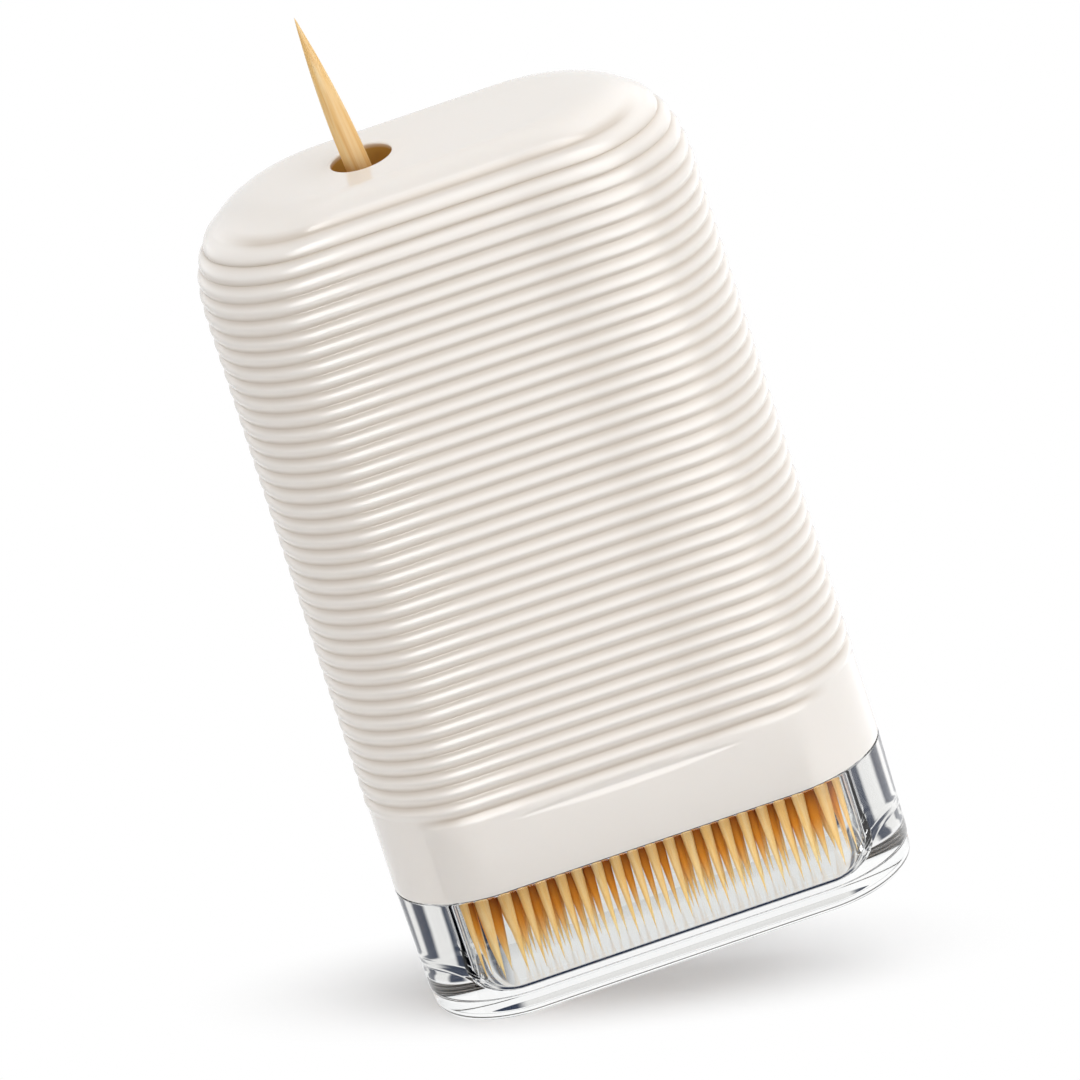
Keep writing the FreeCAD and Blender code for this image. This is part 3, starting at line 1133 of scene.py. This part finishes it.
@dataclass
class ClearBase:
    """Thick clear cup with solid half-round ends, a rounded foot and a grooved neck."""

    size: BodySize = field(default_factory=BodySize)
    finish: ClearMoulding = field(default_factory=ClearMoulding)
    end_steps: int = 100
    side_steps: int = 30
    draft: float = 0.36
    foot_step: float = 0.12
    foot_height: float = 2.75
    foot_round: float = 1.4
    floor: float = 2.3
    cavity_width: float = 20.25
    cavity_depth: float = 6.8
    corner: float = 2.4
    fillet: float = 0.9
    end_fillet: float = 3.2
    seam_gap: float = 0.05
    neck_gap: float = 0.15
    neck_top: float = 22.0
    groove_low: float = 17.1
    groove_high: float = 18.5
    groove_depth: float = 0.5
    seam_round: float = 0.12
    rim_out: float = 0.3
    rim_in: float = 0.25
    wall_heights: tuple[float, ...] = (2.9, 3.4, 5.0, 7.5, 10.0, 12.0, 13.0, 13.35)
    cavity_heights: tuple[float, ...] = (19.0, 16.0, 13.0, 10.0, 8.5)

    def outer(self, draw_in: float, height: float) -> np.ndarray:
        """Outer loop drawn in from the body's outline."""
        half_width, half_depth = self.size.width / 2 - draw_in, self.size.depth / 2 - draw_in
        return stadium_loop(half_width, half_depth, height, self.end_steps, self.side_steps)

    def outer_loops(self) -> list[np.ndarray]:
        """Loops from the middle of the underside up the wall and the neck to its rim.

        Returns:
            The loops in order.
        """
        wall = [self.draft * (1 - height / self.size.seam) for height in (0.0, self.foot_height)]
        foot = wall[0] + self.foot_step
        steps = []
        edge = foot + self.foot_round
        for share in (0.0, 0.3, 0.6, 0.85):
            inset = edge + (self.size.depth / 2 - edge) * (1 - share)
            steps.append((inset, 0.0))
        for angle in np.linspace(0, 90, 25):
            turn = math.radians(float(angle))
            lift = self.foot_round * (1 - math.cos(turn))
            steps.append((edge - self.foot_round * math.sin(turn) - 0.05 * lift / 2, lift))
        ledge = wall[1] + self.foot_step
        steps += [(ledge + 0.005, 2.45), (ledge, 2.62), (ledge - 0.03, 2.67)]
        steps += [(wall[1] + 0.03, 2.71), (wall[1], 2.76)]
        steps += [(self.draft * (1 - height / self.size.seam), height) for height in self.wall_heights]
        shoulder = self.size.seam - self.seam_gap
        seam = quarter(self.seam_round, 0, 30, 60, 90)
        steps += [(inwards, shoulder - down) for inwards, down in seam]
        neck = self.size.wall + self.neck_gap
        groove = neck + self.groove_depth - self.neck_gap
        steps += [(neck - 0.1, shoulder), (neck, shoulder + 0.1), (neck, 15.5), (neck, self.groove_low)]
        steps += [(groove, self.groove_low), (groove, self.groove_high)]
        steps += [(neck, self.groove_high), (neck, 20.0)]
        rim = quarter(self.rim_out, 0, 45, 90)
        steps += [(neck + inwards, self.neck_top - down) for inwards, down in rim]
        return [self.outer(draw_in, height) for draw_in, height in steps]

    def inner_loops(self) -> list[np.ndarray]:
        """Loops from the rim down the cavity to the middle of its floor.

        Returns:
            The loops in order.
        """
        loops = []
        for down, grown in quarter(self.rim_in, 0, 45, 90):
            loops.append(self._cavity(-grown, self.corner + grown, self.neck_top - down))
        for height in self.cavity_heights:
            loops.append(self._cavity(0.0, self.corner, height))
        for _, rise in quarter(self.end_fillet, *np.linspace(0, 90, 19)):
            end = self.rounding(self.end_fillet, rise)
            side = self.rounding(self.fillet, rise)
            loops.append(self._cavity(side, self.corner - side, self.floor + rise, end - side))
        flat = self.end_fillet - self.fillet
        for share in (0.75, 0.45, 0.2, 0.0):
            depth = (self.cavity_depth - self.fillet) * share
            inset = self.cavity_depth - depth
            corner = (self.corner - self.fillet) * share
            loops.append(self._cavity(inset, corner, self.floor, flat))
        return loops

    @staticmethod
    def rounding(radius: float, rise: float) -> float:
        """How far a rounded lower edge stands in at a height above its floor.

        Args:
            radius: Radius of the rounding.
            rise: Height above the floor.

        Returns:
            The distance from the wall, 0 above the rounding.
        """
        drop = max(radius - rise, 0.0)
        return radius - math.sqrt(radius * radius - drop * drop)

    def _cavity(self, inset: float, corner: float, height: float, end_inset: float = 0.0) -> np.ndarray:
        """One loop of the cavity, drawn in from its wall, and further at its ends."""
        half_width, half_depth = self.cavity_width - inset - end_inset, self.cavity_depth - inset
        return rounded_loop(half_width, half_depth, corner, height, self.end_steps, self.side_steps)

    def build(self) -> bpy.types.Object:
        """Build the base's mesh and dress it.

        Returns:
            The base.
        """
        base = skin_loops("clear_cup", self.outer_loops() + self.inner_loops(), False)
        base.data.materials.append(self.finish.material())
        smooth_shade(base, 35)
        base.visible_shadow = False
        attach(base, Body.BASE.value)
        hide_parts("clear_base")
        return base


# ---------------------------------------------------------------- toothpicks


@dataclass(frozen=True)
class LeaningLine:
    """Where the dispensed toothpick leans, through the middle of the throat."""

    angle: float = math.radians(5.0)
    pivot_x: float = -5.9
    pivot_z: float = 81.5
    tip_z: float = 103.8
    diameter: float = 2.5


@dataclass
class StandingToothpicks:
    """The magazine: rows of toothpicks on their points, packed like a honeycomb."""

    finish: TurnedWood = field(
        default_factory=lambda: TurnedWood(
            "standing_wood",
            srgb(255, 234, 178),
            srgb(255, 221, 148),
            srgb(245, 190, 106),
            shine=0.06,
            packed=True,
        )
    )
    length: float = 65.0
    diameter: float = 1.85
    gap: float = 0.04
    point: float = 17.0
    foot: float = 2.32
    channel_width: float = 40.2
    channel_depth: float = 10.6
    play: float = 0.25
    sides: int = 12
    rings: int = 18
    leaning: LeaningLine = field(default_factory=LeaningLine)
    leaning_reach: float = 79.0
    sweep: float = 0.25
    stray: float = 0.12
    row_strays: tuple[float, ...] = (0.0, 0.0, 0.46, 0.46, 0.23, 0.23)
    # Share of painted shade that the front and back rows get.
    outer_depth: float = 0.22
    lift: float = 0.25
    sway: float = math.radians(0.02)
    fullness: float = 1.35
    seed: int = 7

    def crosses_leaning_pick(self, x: float, y: float) -> bool:
        """Whether a standing pick would touch the leaning one.

        Args:
            x: The standing pick's place along X.
            y: Its place along Y.

        Returns:
            True where there is no room for it.
        """
        line = self.leaning
        reach = (self.diameter + line.diameter) / 2 + self.sweep
        foot_height = line.tip_z - self.leaning_reach * math.cos(line.angle)
        low_x = line.pivot_x - (self.foot + self.length - line.pivot_z) * math.tan(line.angle)
        high_x = line.pivot_x - (foot_height - line.pivot_z) * math.tan(line.angle)
        away = max(min(low_x, high_x) - x, x - max(low_x, high_x), 0.0)
        return math.hypot(away, y) < reach

    def places(self) -> list[tuple[float, float, float, float, float]]:
        """Feet of all standing picks, in metres, front row first.

        The points stray a little sideways while the upper ends keep their places.

        Returns:
            Place of each foot, on the rounded ends of the floor too, how far in among the
            others it stands, from 0 to 1, which sets its painted shade, and its lean in radians.
        """
        rounded = ClearBase.end_fillet
        flat = ClearBase.cavity_width - rounded
        pitch = self.diameter + self.gap
        row_pitch = pitch * math.sin(math.radians(60))
        rows = 1 + int((self.channel_depth - 2 * self.play - self.diameter) / row_pitch)
        columns = 1 + int((self.channel_width - 2 * self.play - self.diameter) / pitch)
        strays = np.random.default_rng(self.seed)
        found = []
        for row in range(rows):
            y = (row - (rows - 1) / 2) * row_pitch
            in_row = columns - row % 2
            for column in range(in_row):
                x = (column - (in_row - 1) / 2) * pitch
                if not self.crosses_leaning_pick(x, y):
                    stray = self.row_strays[row] + strays.uniform(-self.stray, self.stray)
                    if column in (0, in_row - 1) or self.crosses_leaning_pick(x + stray, y):
                        stray = 0.0
                    x += stray
                    over = max(abs(x) - flat, 0.0)
                    lift = rounded - math.sqrt(rounded * rounded - over * over)
                    depth = 1.0 if 0 < row < rows - 1 else self.outer_depth
                    found.append((x * MM, y * MM, (self.foot + lift) * MM, depth, -stray / self.length))
        return found

    def pick_tree(self, material: bpy.types.Material) -> bpy.types.NodeTree:
        """Geometry tree that sets one toothpick on every point.

        Args:
            material: What the picks are made of.

        Returns:
            The tree.
        """
        tree = GeometryTree("standing_picks", self.pick_sizes())
        wires = tree.wires
        length, point, seed = tree.value("Length"), tree.value("Point"), tree.value("Seed")
        line = wires.add("GeometryNodeCurvePrimitiveLine", {"mode": "POINTS"}, {"End": (0.0, 0.0, 1.0)})
        rings = wires.add(
            "GeometryNodeResampleCurve",
            {"mode": "COUNT"},
            {"Curve": line.outputs[0], "Count": tree.inlet.outputs["Rings"]},
        )
        share = wires.amount(wires.add("GeometryNodeSplineParameter").outputs["Factor"])
        height = (share - (share * math.tau).sine() * (0.86 / math.tau)) * length
        spot = wires.add("ShaderNodeCombineXYZ", None, {2: height})
        taper = (height.least(length - height) / point).least(1.0)
        radius = (1 - (1 - taper) ** self.fullness) * tree.value("Radius")
        ring = wires.add(
            "GeometryNodeCurvePrimitiveCircle",
            {"mode": "RADIUS"},
            {"Resolution": tree.inlet.outputs["Sides"], "Radius": 1.0},
        )
        sized = tree.store(rings.outputs[0], "pick_radius", radius)
        spread = tree.moved(sized, "Position", spot)
        values = {"Curve": spread, "Profile Curve": ring.outputs[0], "Scale": tree.stored("pick_radius")}
        tube = wires.add("GeometryNodeCurveToMesh", None, values)
        values = {"Geometry": tube.outputs[0], "Distance": 1e-6}
        pick = wires.add("GeometryNodeMergeByDistance", None, values)
        sway = self._random(wires, seed, tree.value("Sway"))
        turn = wires.add("ShaderNodeCombineXYZ", None, {0: sway, 1: tree.stored("pick_lean")})
        up = self._random(wires, seed + 3, tree.value("Lift")) + tree.value("Lift")
        lift = wires.add("ShaderNodeCombineXYZ", None, {2: up})
        raised = tree.moved(tree.inlet.outputs["Geometry"], "Offset", lift)
        values = {"Points": raised, "Instance": pick.outputs[0], "Rotation": turn.outputs[0]}
        standing = wires.add("GeometryNodeInstanceOnPoints", None, values)
        tone = self._random(wires, seed + 4, 0.5) + 0.5
        tree.close(tree.store(standing.outputs[0], "pick_tone", tone, "INSTANCE"), material)
        return tree.tree

    @staticmethod
    def _random(wires: Wires, seed: Any, reach: Any) -> Amount:
        """Random number from -reach to reach, fixed by its seed."""
        node = wires.add("FunctionNodeRandomValue", {"data_type": "FLOAT"}, {2: -1.0, 3: 1.0, "Seed": seed})
        return wires.amount(node.outputs[1]) * reach

    def pick_sizes(self) -> dict[str, float | int]:
        """Gather the sizes that the picks' geometry tree takes.

        Returns:
            Input name to value.
        """
        return {
            "Length": self.length * MM,
            "Radius": self.diameter / 2 * MM,
            "Point": self.point * MM,
            "Sides": self.sides,
            "Rings": self.rings,
            "Lift": self.lift * MM,
            "Sway": self.sway,
            "Seed": self.seed,
        }

    def build(self) -> bpy.types.Object:
        """Build all standing picks as one mesh.

        Returns:
            The picks.
        """
        mesh = bpy.data.meshes.new("standing_toothpicks")
        places = self.places()
        mesh.from_pydata([place[:3] for place in places], [], [])
        for label, column in (("pick_depth", 3), ("pick_lean", 4)):
            numbers = mesh.attributes.new(label, "FLOAT", "POINT")
            numbers.data.foreach_set("value", [place[column] for place in places])
        picks = add_object("standing_toothpicks", mesh)
        grow(picks, self.pick_tree(self.finish.material()), self.pick_sizes())
        smooth_shade(picks, 80)
        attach(picks, Body.BASE.value)
        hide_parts(*[f"toothpick_row_{row}" for row in range(1, 7)])
        return picks


@dataclass
class LeaningToothpick:
    """The dispensed toothpick that leans in the throat and stands out of the hole."""

    finish: TurnedWood = field(
        default_factory=lambda: TurnedWood("leaning_wood", lean=LeaningLine.angle, fineness=1800.0)
    )
    line: LeaningLine = field(default_factory=LeaningLine)
    length: float = 65.0
    point: float = 17.0
    sides: int = 40
    point_rings: int = 26
    tip_radius: float = 0.03

    def profile(self) -> list[tuple[float, float]]:
        """Shape of the toothpick along its own line.

        Returns:
            Radius and height of each ring, lower tip first.
        """
        half = []
        for share in np.linspace(0, 1, self.point_rings) ** 1.35:
            swell = 1 - (1 - share) ** 2
            blunt = self.tip_radius * (1 - share) ** 8 * min(share * 40, 1)
            half.append((blunt + swell * self.line.diameter / 2, self.point * float(share)))
        heights = np.linspace(self.point, self.length - self.point, 14)[1:-1]
        shank = [(self.line.diameter / 2, height) for height in heights]
        return half + shank + [(radius, self.length - height) for radius, height in reversed(half)]

    def build(self) -> bpy.types.Object:
        """Build the pick along its lean and dress it.

        Returns:
            The pick.
        """
        turn = np.linspace(0, math.tau, self.sides, endpoint=False)
        sine, cosine = math.sin(self.line.angle), math.cos(self.line.angle)
        to_tip = (self.line.tip_z - self.line.pivot_z) / cosine
        axis, across = np.array([-sine, 0.0, cosine]), np.array([cosine, 0.0, sine])
        foot = np.array([self.line.pivot_x, 0.0, self.line.pivot_z]) + axis * (to_tip - self.length)
        loops = []
        for radius, height in self.profile():
            ring = foot + axis * height + radius * np.outer(np.cos(turn), across)
            ring[:, 1] += radius * np.sin(turn)
            loops.append(ring)
        pick = skin_loops("leaning_toothpick", loops, False)
        pick.data.materials.append(self.finish.material())
        smooth_shade(pick, 80)
        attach(pick, Body.TOOTHPICK.value)
        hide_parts("dispensed_toothpick")
        return pick


# ---------------------------------------------------------------- hidden mouldings


@dataclass
class HiddenMouldings:
    """Guide, throat and neck ring: their solids stay, with their own finishes."""

    finishes: dict[str, MattMoulding] = field(
        default_factory=lambda: {
            "pick_guide": MattMoulding("milky_guide", srgb(236, 232, 224), srgb(222, 216, 206), 0.42),
            "throat_ring": MattMoulding("amber_throat", srgb(172, 128, 78), srgb(140, 98, 56), 0.5),
            "neck_ring": MattMoulding("soft_ring", srgb(236, 236, 232), srgb(225, 225, 221), 0.36),
        }
    )

    def dress(self) -> list[str]:
        """Give each node its finish.

        Returns:
            The names of the dressed nodes.
        """
        for name, finish in self.finishes.items():
            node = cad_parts[name]
            material = finish.material()
            if not node.material_slots:
                node.data.materials.append(material)
            for slot in node.material_slots:
                slot.material = material
        return list(self.finishes)


# ---------------------------------------------------------------- studio


@dataclass(frozen=True)
class Lamp:
    """A soft panel."""

    name: Panel
    place: tuple[float, float, float]
    aim: tuple[float, float, float]
    width: float
    height: float
    power: float


@dataclass(frozen=True)
class Card:
    """An upright card before the dispenser, out of view, that only its polish mirrors."""

    name: str
    centre: tuple[float, float, float]
    width: float
    height: float
    left_edge: float
    right_edge: float
    shade: Colour = WHITE
    strength: float = 1.0
    level_edge: float = 0.005


@dataclass
class Studio:
    """Camera, floor, panels, cards and surroundings."""

    centre: tuple[float, float, float] = (-0.00083, 0.0, 0.04365)
    elevation: float = math.radians(21.8)
    bearing: float = math.radians(2.0)
    roll: float = math.radians(18.04)
    distance: float = 4.0
    across: float = 0.1057
    floor_rings: tuple[float, ...] = (0.05, 0.12, 0.3, 0.6)
    floor_steps: int = 48
    floor_light: Colour = (0.97, 0.97, 0.97, 1.0)
    floor_dark: Colour = (0.94, 0.94, 0.94, 1.0)
    floor_glow: float = 0.1
    foot: tuple[float, float, float] = (-0.023486, 0.0008, 0.00003)
    shadow_at: tuple[float, float] = (0.0155, 0.0085)
    shadow_size: tuple[float, float] = (0.035, 0.013)
    shadow_turn: float = math.radians(16.0)
    flag_spacing: float = math.radians(45.0)
    flag_start: float = math.radians(7.5)
    flag_end: float = math.radians(18.5)
    flag_edge: float = math.radians(2.2)
    flag_shade: Colour = srgb(44, 54, 74)
    ambient: float = 0.48
    lamps: tuple[Lamp, ...] = (
        Lamp(Panel.SIDE, (0.42, -0.24, 0.16), (0.0, 0.0, 0.05), 0.3, 0.4, 0.46),
        Lamp(Panel.FRONT, (0.08, -0.6, 0.10), (0.0, 0.0, 0.05), 0.5, 0.4, 0.24),
        Lamp(Panel.TOP, (0.13, -0.07, 0.6), (0.0, 0.0, 0.03), 0.5, 0.4, 1.3),
        Lamp(Panel.FILL, (-0.5, -0.2, 0.05), (0.0, 0.0, 0.05), 0.4, 0.4, 0.45),
    )
    cup_lamp: Lamp = Lamp(Panel.CUP, (0.0, -0.04, -0.004), (0.0, 0.0, 0.009), 0.07, 0.004, 0.011)
    cards: tuple[Card, ...] = (
        Card("low_flag", (-0.0625, -0.06, -0.0415), 0.235, 0.079, 0.02, 0.03, srgb(38, 46, 60), 1.0, 0.004),
        Card("left_glow", (-0.219, -0.6, 0.06), 0.482, 0.5, 0.42, 0.008, WHITE, 6.0, 0.06),
        Card("middle_glow", (0.0002, -0.06, 0.064), 0.0212, 0.125, 0.0015, 0.003, WHITE, 2.8),
        Card("right_glow", (0.056, -0.06, 0.064), 0.092, 0.125, 0.009, 0.06, WHITE, 4.2),
    )

    @property
    def back(self) -> Vector:
        """Way to the camera.

        Returns:
            The unit vector from the dispenser to the camera.
        """
        level = math.cos(self.elevation)
        across, before = -math.sin(self.bearing) * level, -math.cos(self.bearing) * level
        return Vector((across, before, math.sin(self.elevation)))

    @property
    def right(self) -> Vector:
        """To the right of the picture."""
        return self._turned(math.cos(self.roll), -math.sin(self.roll))

    @property
    def up(self) -> Vector:
        """To the top of the picture."""
        return self._turned(math.sin(self.roll), math.cos(self.roll))

    def _turned(self, sideways: float, upwards: float) -> Vector:
        """Sum of the level direction across the view and the one that climbs."""
        level = Vector((math.cos(self.bearing), -math.sin(self.bearing), 0.0))
        return level * sideways + self.back.cross(level) * upwards

    def camera(self) -> None:
        """Place the camera, rolled so that the dispenser tips to the left."""
        data = bpy.data.cameras.new("camera")
        data.sensor_width = 36.0
        data.lens = data.sensor_width * self.distance / self.across
        data.clip_end = 20.0
        eye = bpy.data.objects.new("camera", data)
        turn = Matrix((self.right, self.up, self.back)).transposed()
        spot = Vector(self.centre) + self.back * self.distance
        eye.matrix_world = Matrix.Translation(spot) @ turn.to_4x4()
        bpy.context.scene.collection.objects.link(eye)
        bpy.context.scene.camera = eye

    def panel(self, lamp: Lamp) -> bpy.types.Object:
        """Hang one soft panel.

        Args:
            lamp: Its size, place and power.

        Returns:
            The panel.
        """
        data = bpy.data.lights.new(lamp.name.value, "AREA")
        data.shape = "RECTANGLE"
        data.size = lamp.width
        data.size_y = lamp.height
        data.energy = lamp.power
        panel = bpy.data.objects.new(lamp.name.value, data)
        panel.matrix_world = self._facing(lamp.place, lamp.aim)
        panel.visible_camera = False
        panel.visible_glossy = False
        bpy.context.scene.collection.objects.link(panel)
        return panel

    @staticmethod
    def _facing(place: Iterable[float], aim: Iterable[float]) -> Matrix:
        """Placement at a point, with -Z towards another.

        Args:
            place: The point.
            aim: The point that it faces.

        Returns:
            The placement.
        """
        spot = Vector(place)
        turn = (Vector(aim) - spot).to_track_quat("-Z", "Y")
        return Matrix.Translation(spot) @ turn.to_matrix().to_4x4()

    def card(self, card: Card) -> None:
        """Stand one soft-edged card.

        Args:
            card: Its size, place and shade.
        """
        across, depth, middle = card.centre
        half_width, half_height = card.width / 2, card.height / 2
        low, high = middle - half_height, middle + half_height
        left, right = across - half_width, across + half_width
        corners = [(left, depth, low), (right, depth, low), (right, depth, high), (left, depth, high)]
        mesh = bpy.data.meshes.new(card.name)
        mesh.from_pydata(corners, [], [(0, 1, 2, 3)])
        surface = Surface(card.name)
        wires = surface.wires
        aside, _, above = surface.axes()
        above = abs(above - middle)
        solid = aside.ramp(left, left + card.left_edge, smooth=True)
        solid = solid * aside.ramp(right, right - card.right_edge, smooth=True)
        solid = solid * above.ramp(half_height, half_height - card.level_edge, smooth=True)
        clear = wires.add("ShaderNodeBsdfTransparent")
        glow = wires.glow(card.shade, card.strength)
        mesh.materials.append(surface.close(wires.either(solid, clear, glow)))
        stand = add_object(card.name, mesh)
        stand.visible_camera = False
        stand.visible_diffuse = False
        stand.visible_transmission = False
        stand.visible_shadow = False

    def floor(self) -> None:
        """Lay the pale floor under the edge that the dispenser is tipped on."""
        foot = Vector(self.foot)
        level, tilt = math.cos(self.elevation), math.sin(self.elevation)
        upright = self.up * level + self.back * tilt
        away = self.up * tilt - self.back * level
        points = [foot]
        around = self.floor_steps
        for radius in self.floor_rings:
            for step in range(around):
                angle = math.tau * step / around
                points.append(foot + (self.right * math.cos(angle) + away * math.sin(angle)) * radius)
        pairs = [(step, (step + 1) % around) for step in range(around)]
        faces: list[tuple[int, ...]] = [(0, 1 + here, 1 + after) for here, after in pairs]
        for low in range(1, len(points) - around, around):
            high = low + around
            faces += [(low + here, high + here, high + after, low + after) for here, after in pairs]
        mesh = bpy.data.meshes.new("pale_floor")
        mesh.from_pydata(points, [], faces)
        surface = Surface("pale_floor")
        wires = surface.wires
        long_way = self.right * math.cos(self.shadow_turn) + away * math.sin(self.shadow_turn)
        middle = foot + self.right * self.shadow_at[0] + away * self.shadow_at[1]
        spot = wires.add("ShaderNodeTexCoord")
        reach = []
        for direction, size in zip((long_way, upright.cross(long_way)), self.shadow_size):
            dot = wires.add(
                "ShaderNodeVectorMath",
                {"operation": "DOT_PRODUCT"},
                {0: spot.outputs["Object"], 1: tuple(direction)},
            )
            reach.append((wires.amount(dot.outputs["Value"]) - middle.dot(direction)) / size)
        length = (reach[0] * reach[0] + reach[1] * reach[1]) ** 0.5
        far = length.ramp(0.35, 1.28, 0.0, 1.0, smooth=True)
        grain = surface.noise(surface.place(), 900.0, 3.0)
        shade = wires.blend(grain, self.floor_light, self.floor_dark)
        paper = wires.add("ShaderNodeBsdfDiffuse", None, {"Color": shade})
        glow = wires.glow(WHITE, self.floor_glow)
        lit = wires.add("ShaderNodeAddShader", None, {0: paper.outputs[0], 1: glow.outputs[0]})
        seen = wires.either(far, lit, wires.glow(WHITE, 1.0))
        rays = wires.add("ShaderNodeLightPath")
        top = wires.either(rays.outputs["Is Camera Ray"], paper, seen)
        clear = wires.add("ShaderNodeBsdfTransparent")
        side = wires.add("ShaderNodeNewGeometry")
        mirrored = wires.amount(rays.outputs["Is Glossy Ray"]).most(rays.outputs["Is Transmission Ray"])
        open_to = mirrored.most(side.outputs["Backfacing"])
        mesh.materials.append(surface.close(wires.either(open_to, top, clear)))
        add_object("pale_floor", mesh)

    def surroundings(self) -> None:
        """White where it is seen, softer where it lights, with dark flags for glass and gloss.

        Low flags stand in pairs round the horizon and one lies below, so that thick glass
        gets dark edges and a bright middle from each side. Gloss mirrors a dim left side
        and a bright right side.
        """
        world = bpy.data.worlds.new("white_studio")
        world.use_nodes = True
        wires = Wires(world.node_tree)
        rays = wires.add("ShaderNodeLightPath")
        right, ahead, high = wires.axes(wires.add("ShaderNodeTexCoord").outputs["Generated"])
        turns = right.maths("ARCTAN2", ahead) / self.flag_spacing + 0.5
        away = abs(turns.maths("FRACT") - 0.5) * self.flag_spacing
        edge = self.flag_edge
        dark = away.ramp(self.flag_start - edge, self.flag_start + edge, smooth=True)
        dark = dark * away.ramp(self.flag_end + edge, self.flag_end - edge, smooth=True)
        dark = dark * high.ramp(0.12, -0.02, smooth=True) * high.ramp(-0.66, -0.5, smooth=True)
        before = ahead.ramp(-0.72, -0.86, smooth=True) * high.ramp(-0.12, -0.26, smooth=True)
        dark = dark.most(before).most(high.ramp(-0.7, -0.85, smooth=True))
        clear = wires.blend(high.ramp(0.1, -0.15, smooth=True), WHITE, srgb(233, 232, 230))
        glass = wires.blend(dark, clear, self.flag_shade)
        dim = right.ramp(-0.65, -0.2, smooth=True)
        left = wires.blend(high.ramp(-0.25, 0.0, smooth=True), srgb(240, 240, 240), (1.9, 1.9, 1.9, 1))
        gloss = wires.blend(dim, left, WHITE)
        gloss = wires.blend(right.ramp(0.2, 0.6, smooth=True), gloss, (1.8, 1.8, 1.8, 1))
        level = self.ambient
        colour = wires.blend(rays.outputs["Is Camera Ray"], (level, level, level * 1.01, 1), WHITE)
        colour = wires.blend(rays.outputs["Is Glossy Ray"], colour, gloss)
        colour = wires.blend(rays.outputs["Is Transmission Ray"], colour, glass)
        sky = wires.add("ShaderNodeBackground", None, {"Color": colour, "Strength": 1.0})
        output = wires.add("ShaderNodeOutputWorld")
        wires.feed(output.inputs["Surface"], sky.outputs[0])
        bpy.context.scene.world = world

    def build(self) -> None:
        """Set up everything that isn't the dispenser."""
        self.camera()
        self.surroundings()
        self.floor()
        for lamp in self.lamps:
            self.panel(lamp)
        for card in self.cards:
            self.card(card)
        bpy.context.scene.view_settings.view_transform = "Standard"

    def light_through_cup(self, toothpicks: bpy.types.Object) -> None:
        """Give the toothpicks the light that a pale table throws up through the clear foot.

        Args:
            toothpicks: The piece that the lamp lights.
        """
        lit = bpy.data.collections.new("lit_through_cup")
        lit.objects.link(toothpicks)
        self.panel(self.cup_lamp).light_linking.receiver_collection = lit


def main() -> None:
    """Build the studio and every piece, and report each one."""
    logging.basicConfig(level=logging.INFO, format="%(name)s: %(message)s")
    studio = Studio()
    studio.build()
    makers = (RibbedCover(), ClearBase(), StandingToothpicks(), LeaningToothpick())
    pieces = {piece.name: piece for piece in (maker.build() for maker in makers)}
    for name, piece in pieces.items():
        LOG.info("%s has %d faces", name, len(piece.data.polygons))
    studio.light_through_cup(pieces["standing_toothpicks"])
    for name in HiddenMouldings().dress():
        LOG.info("%s is dressed", name)


if __name__ == "__main__":
    main()
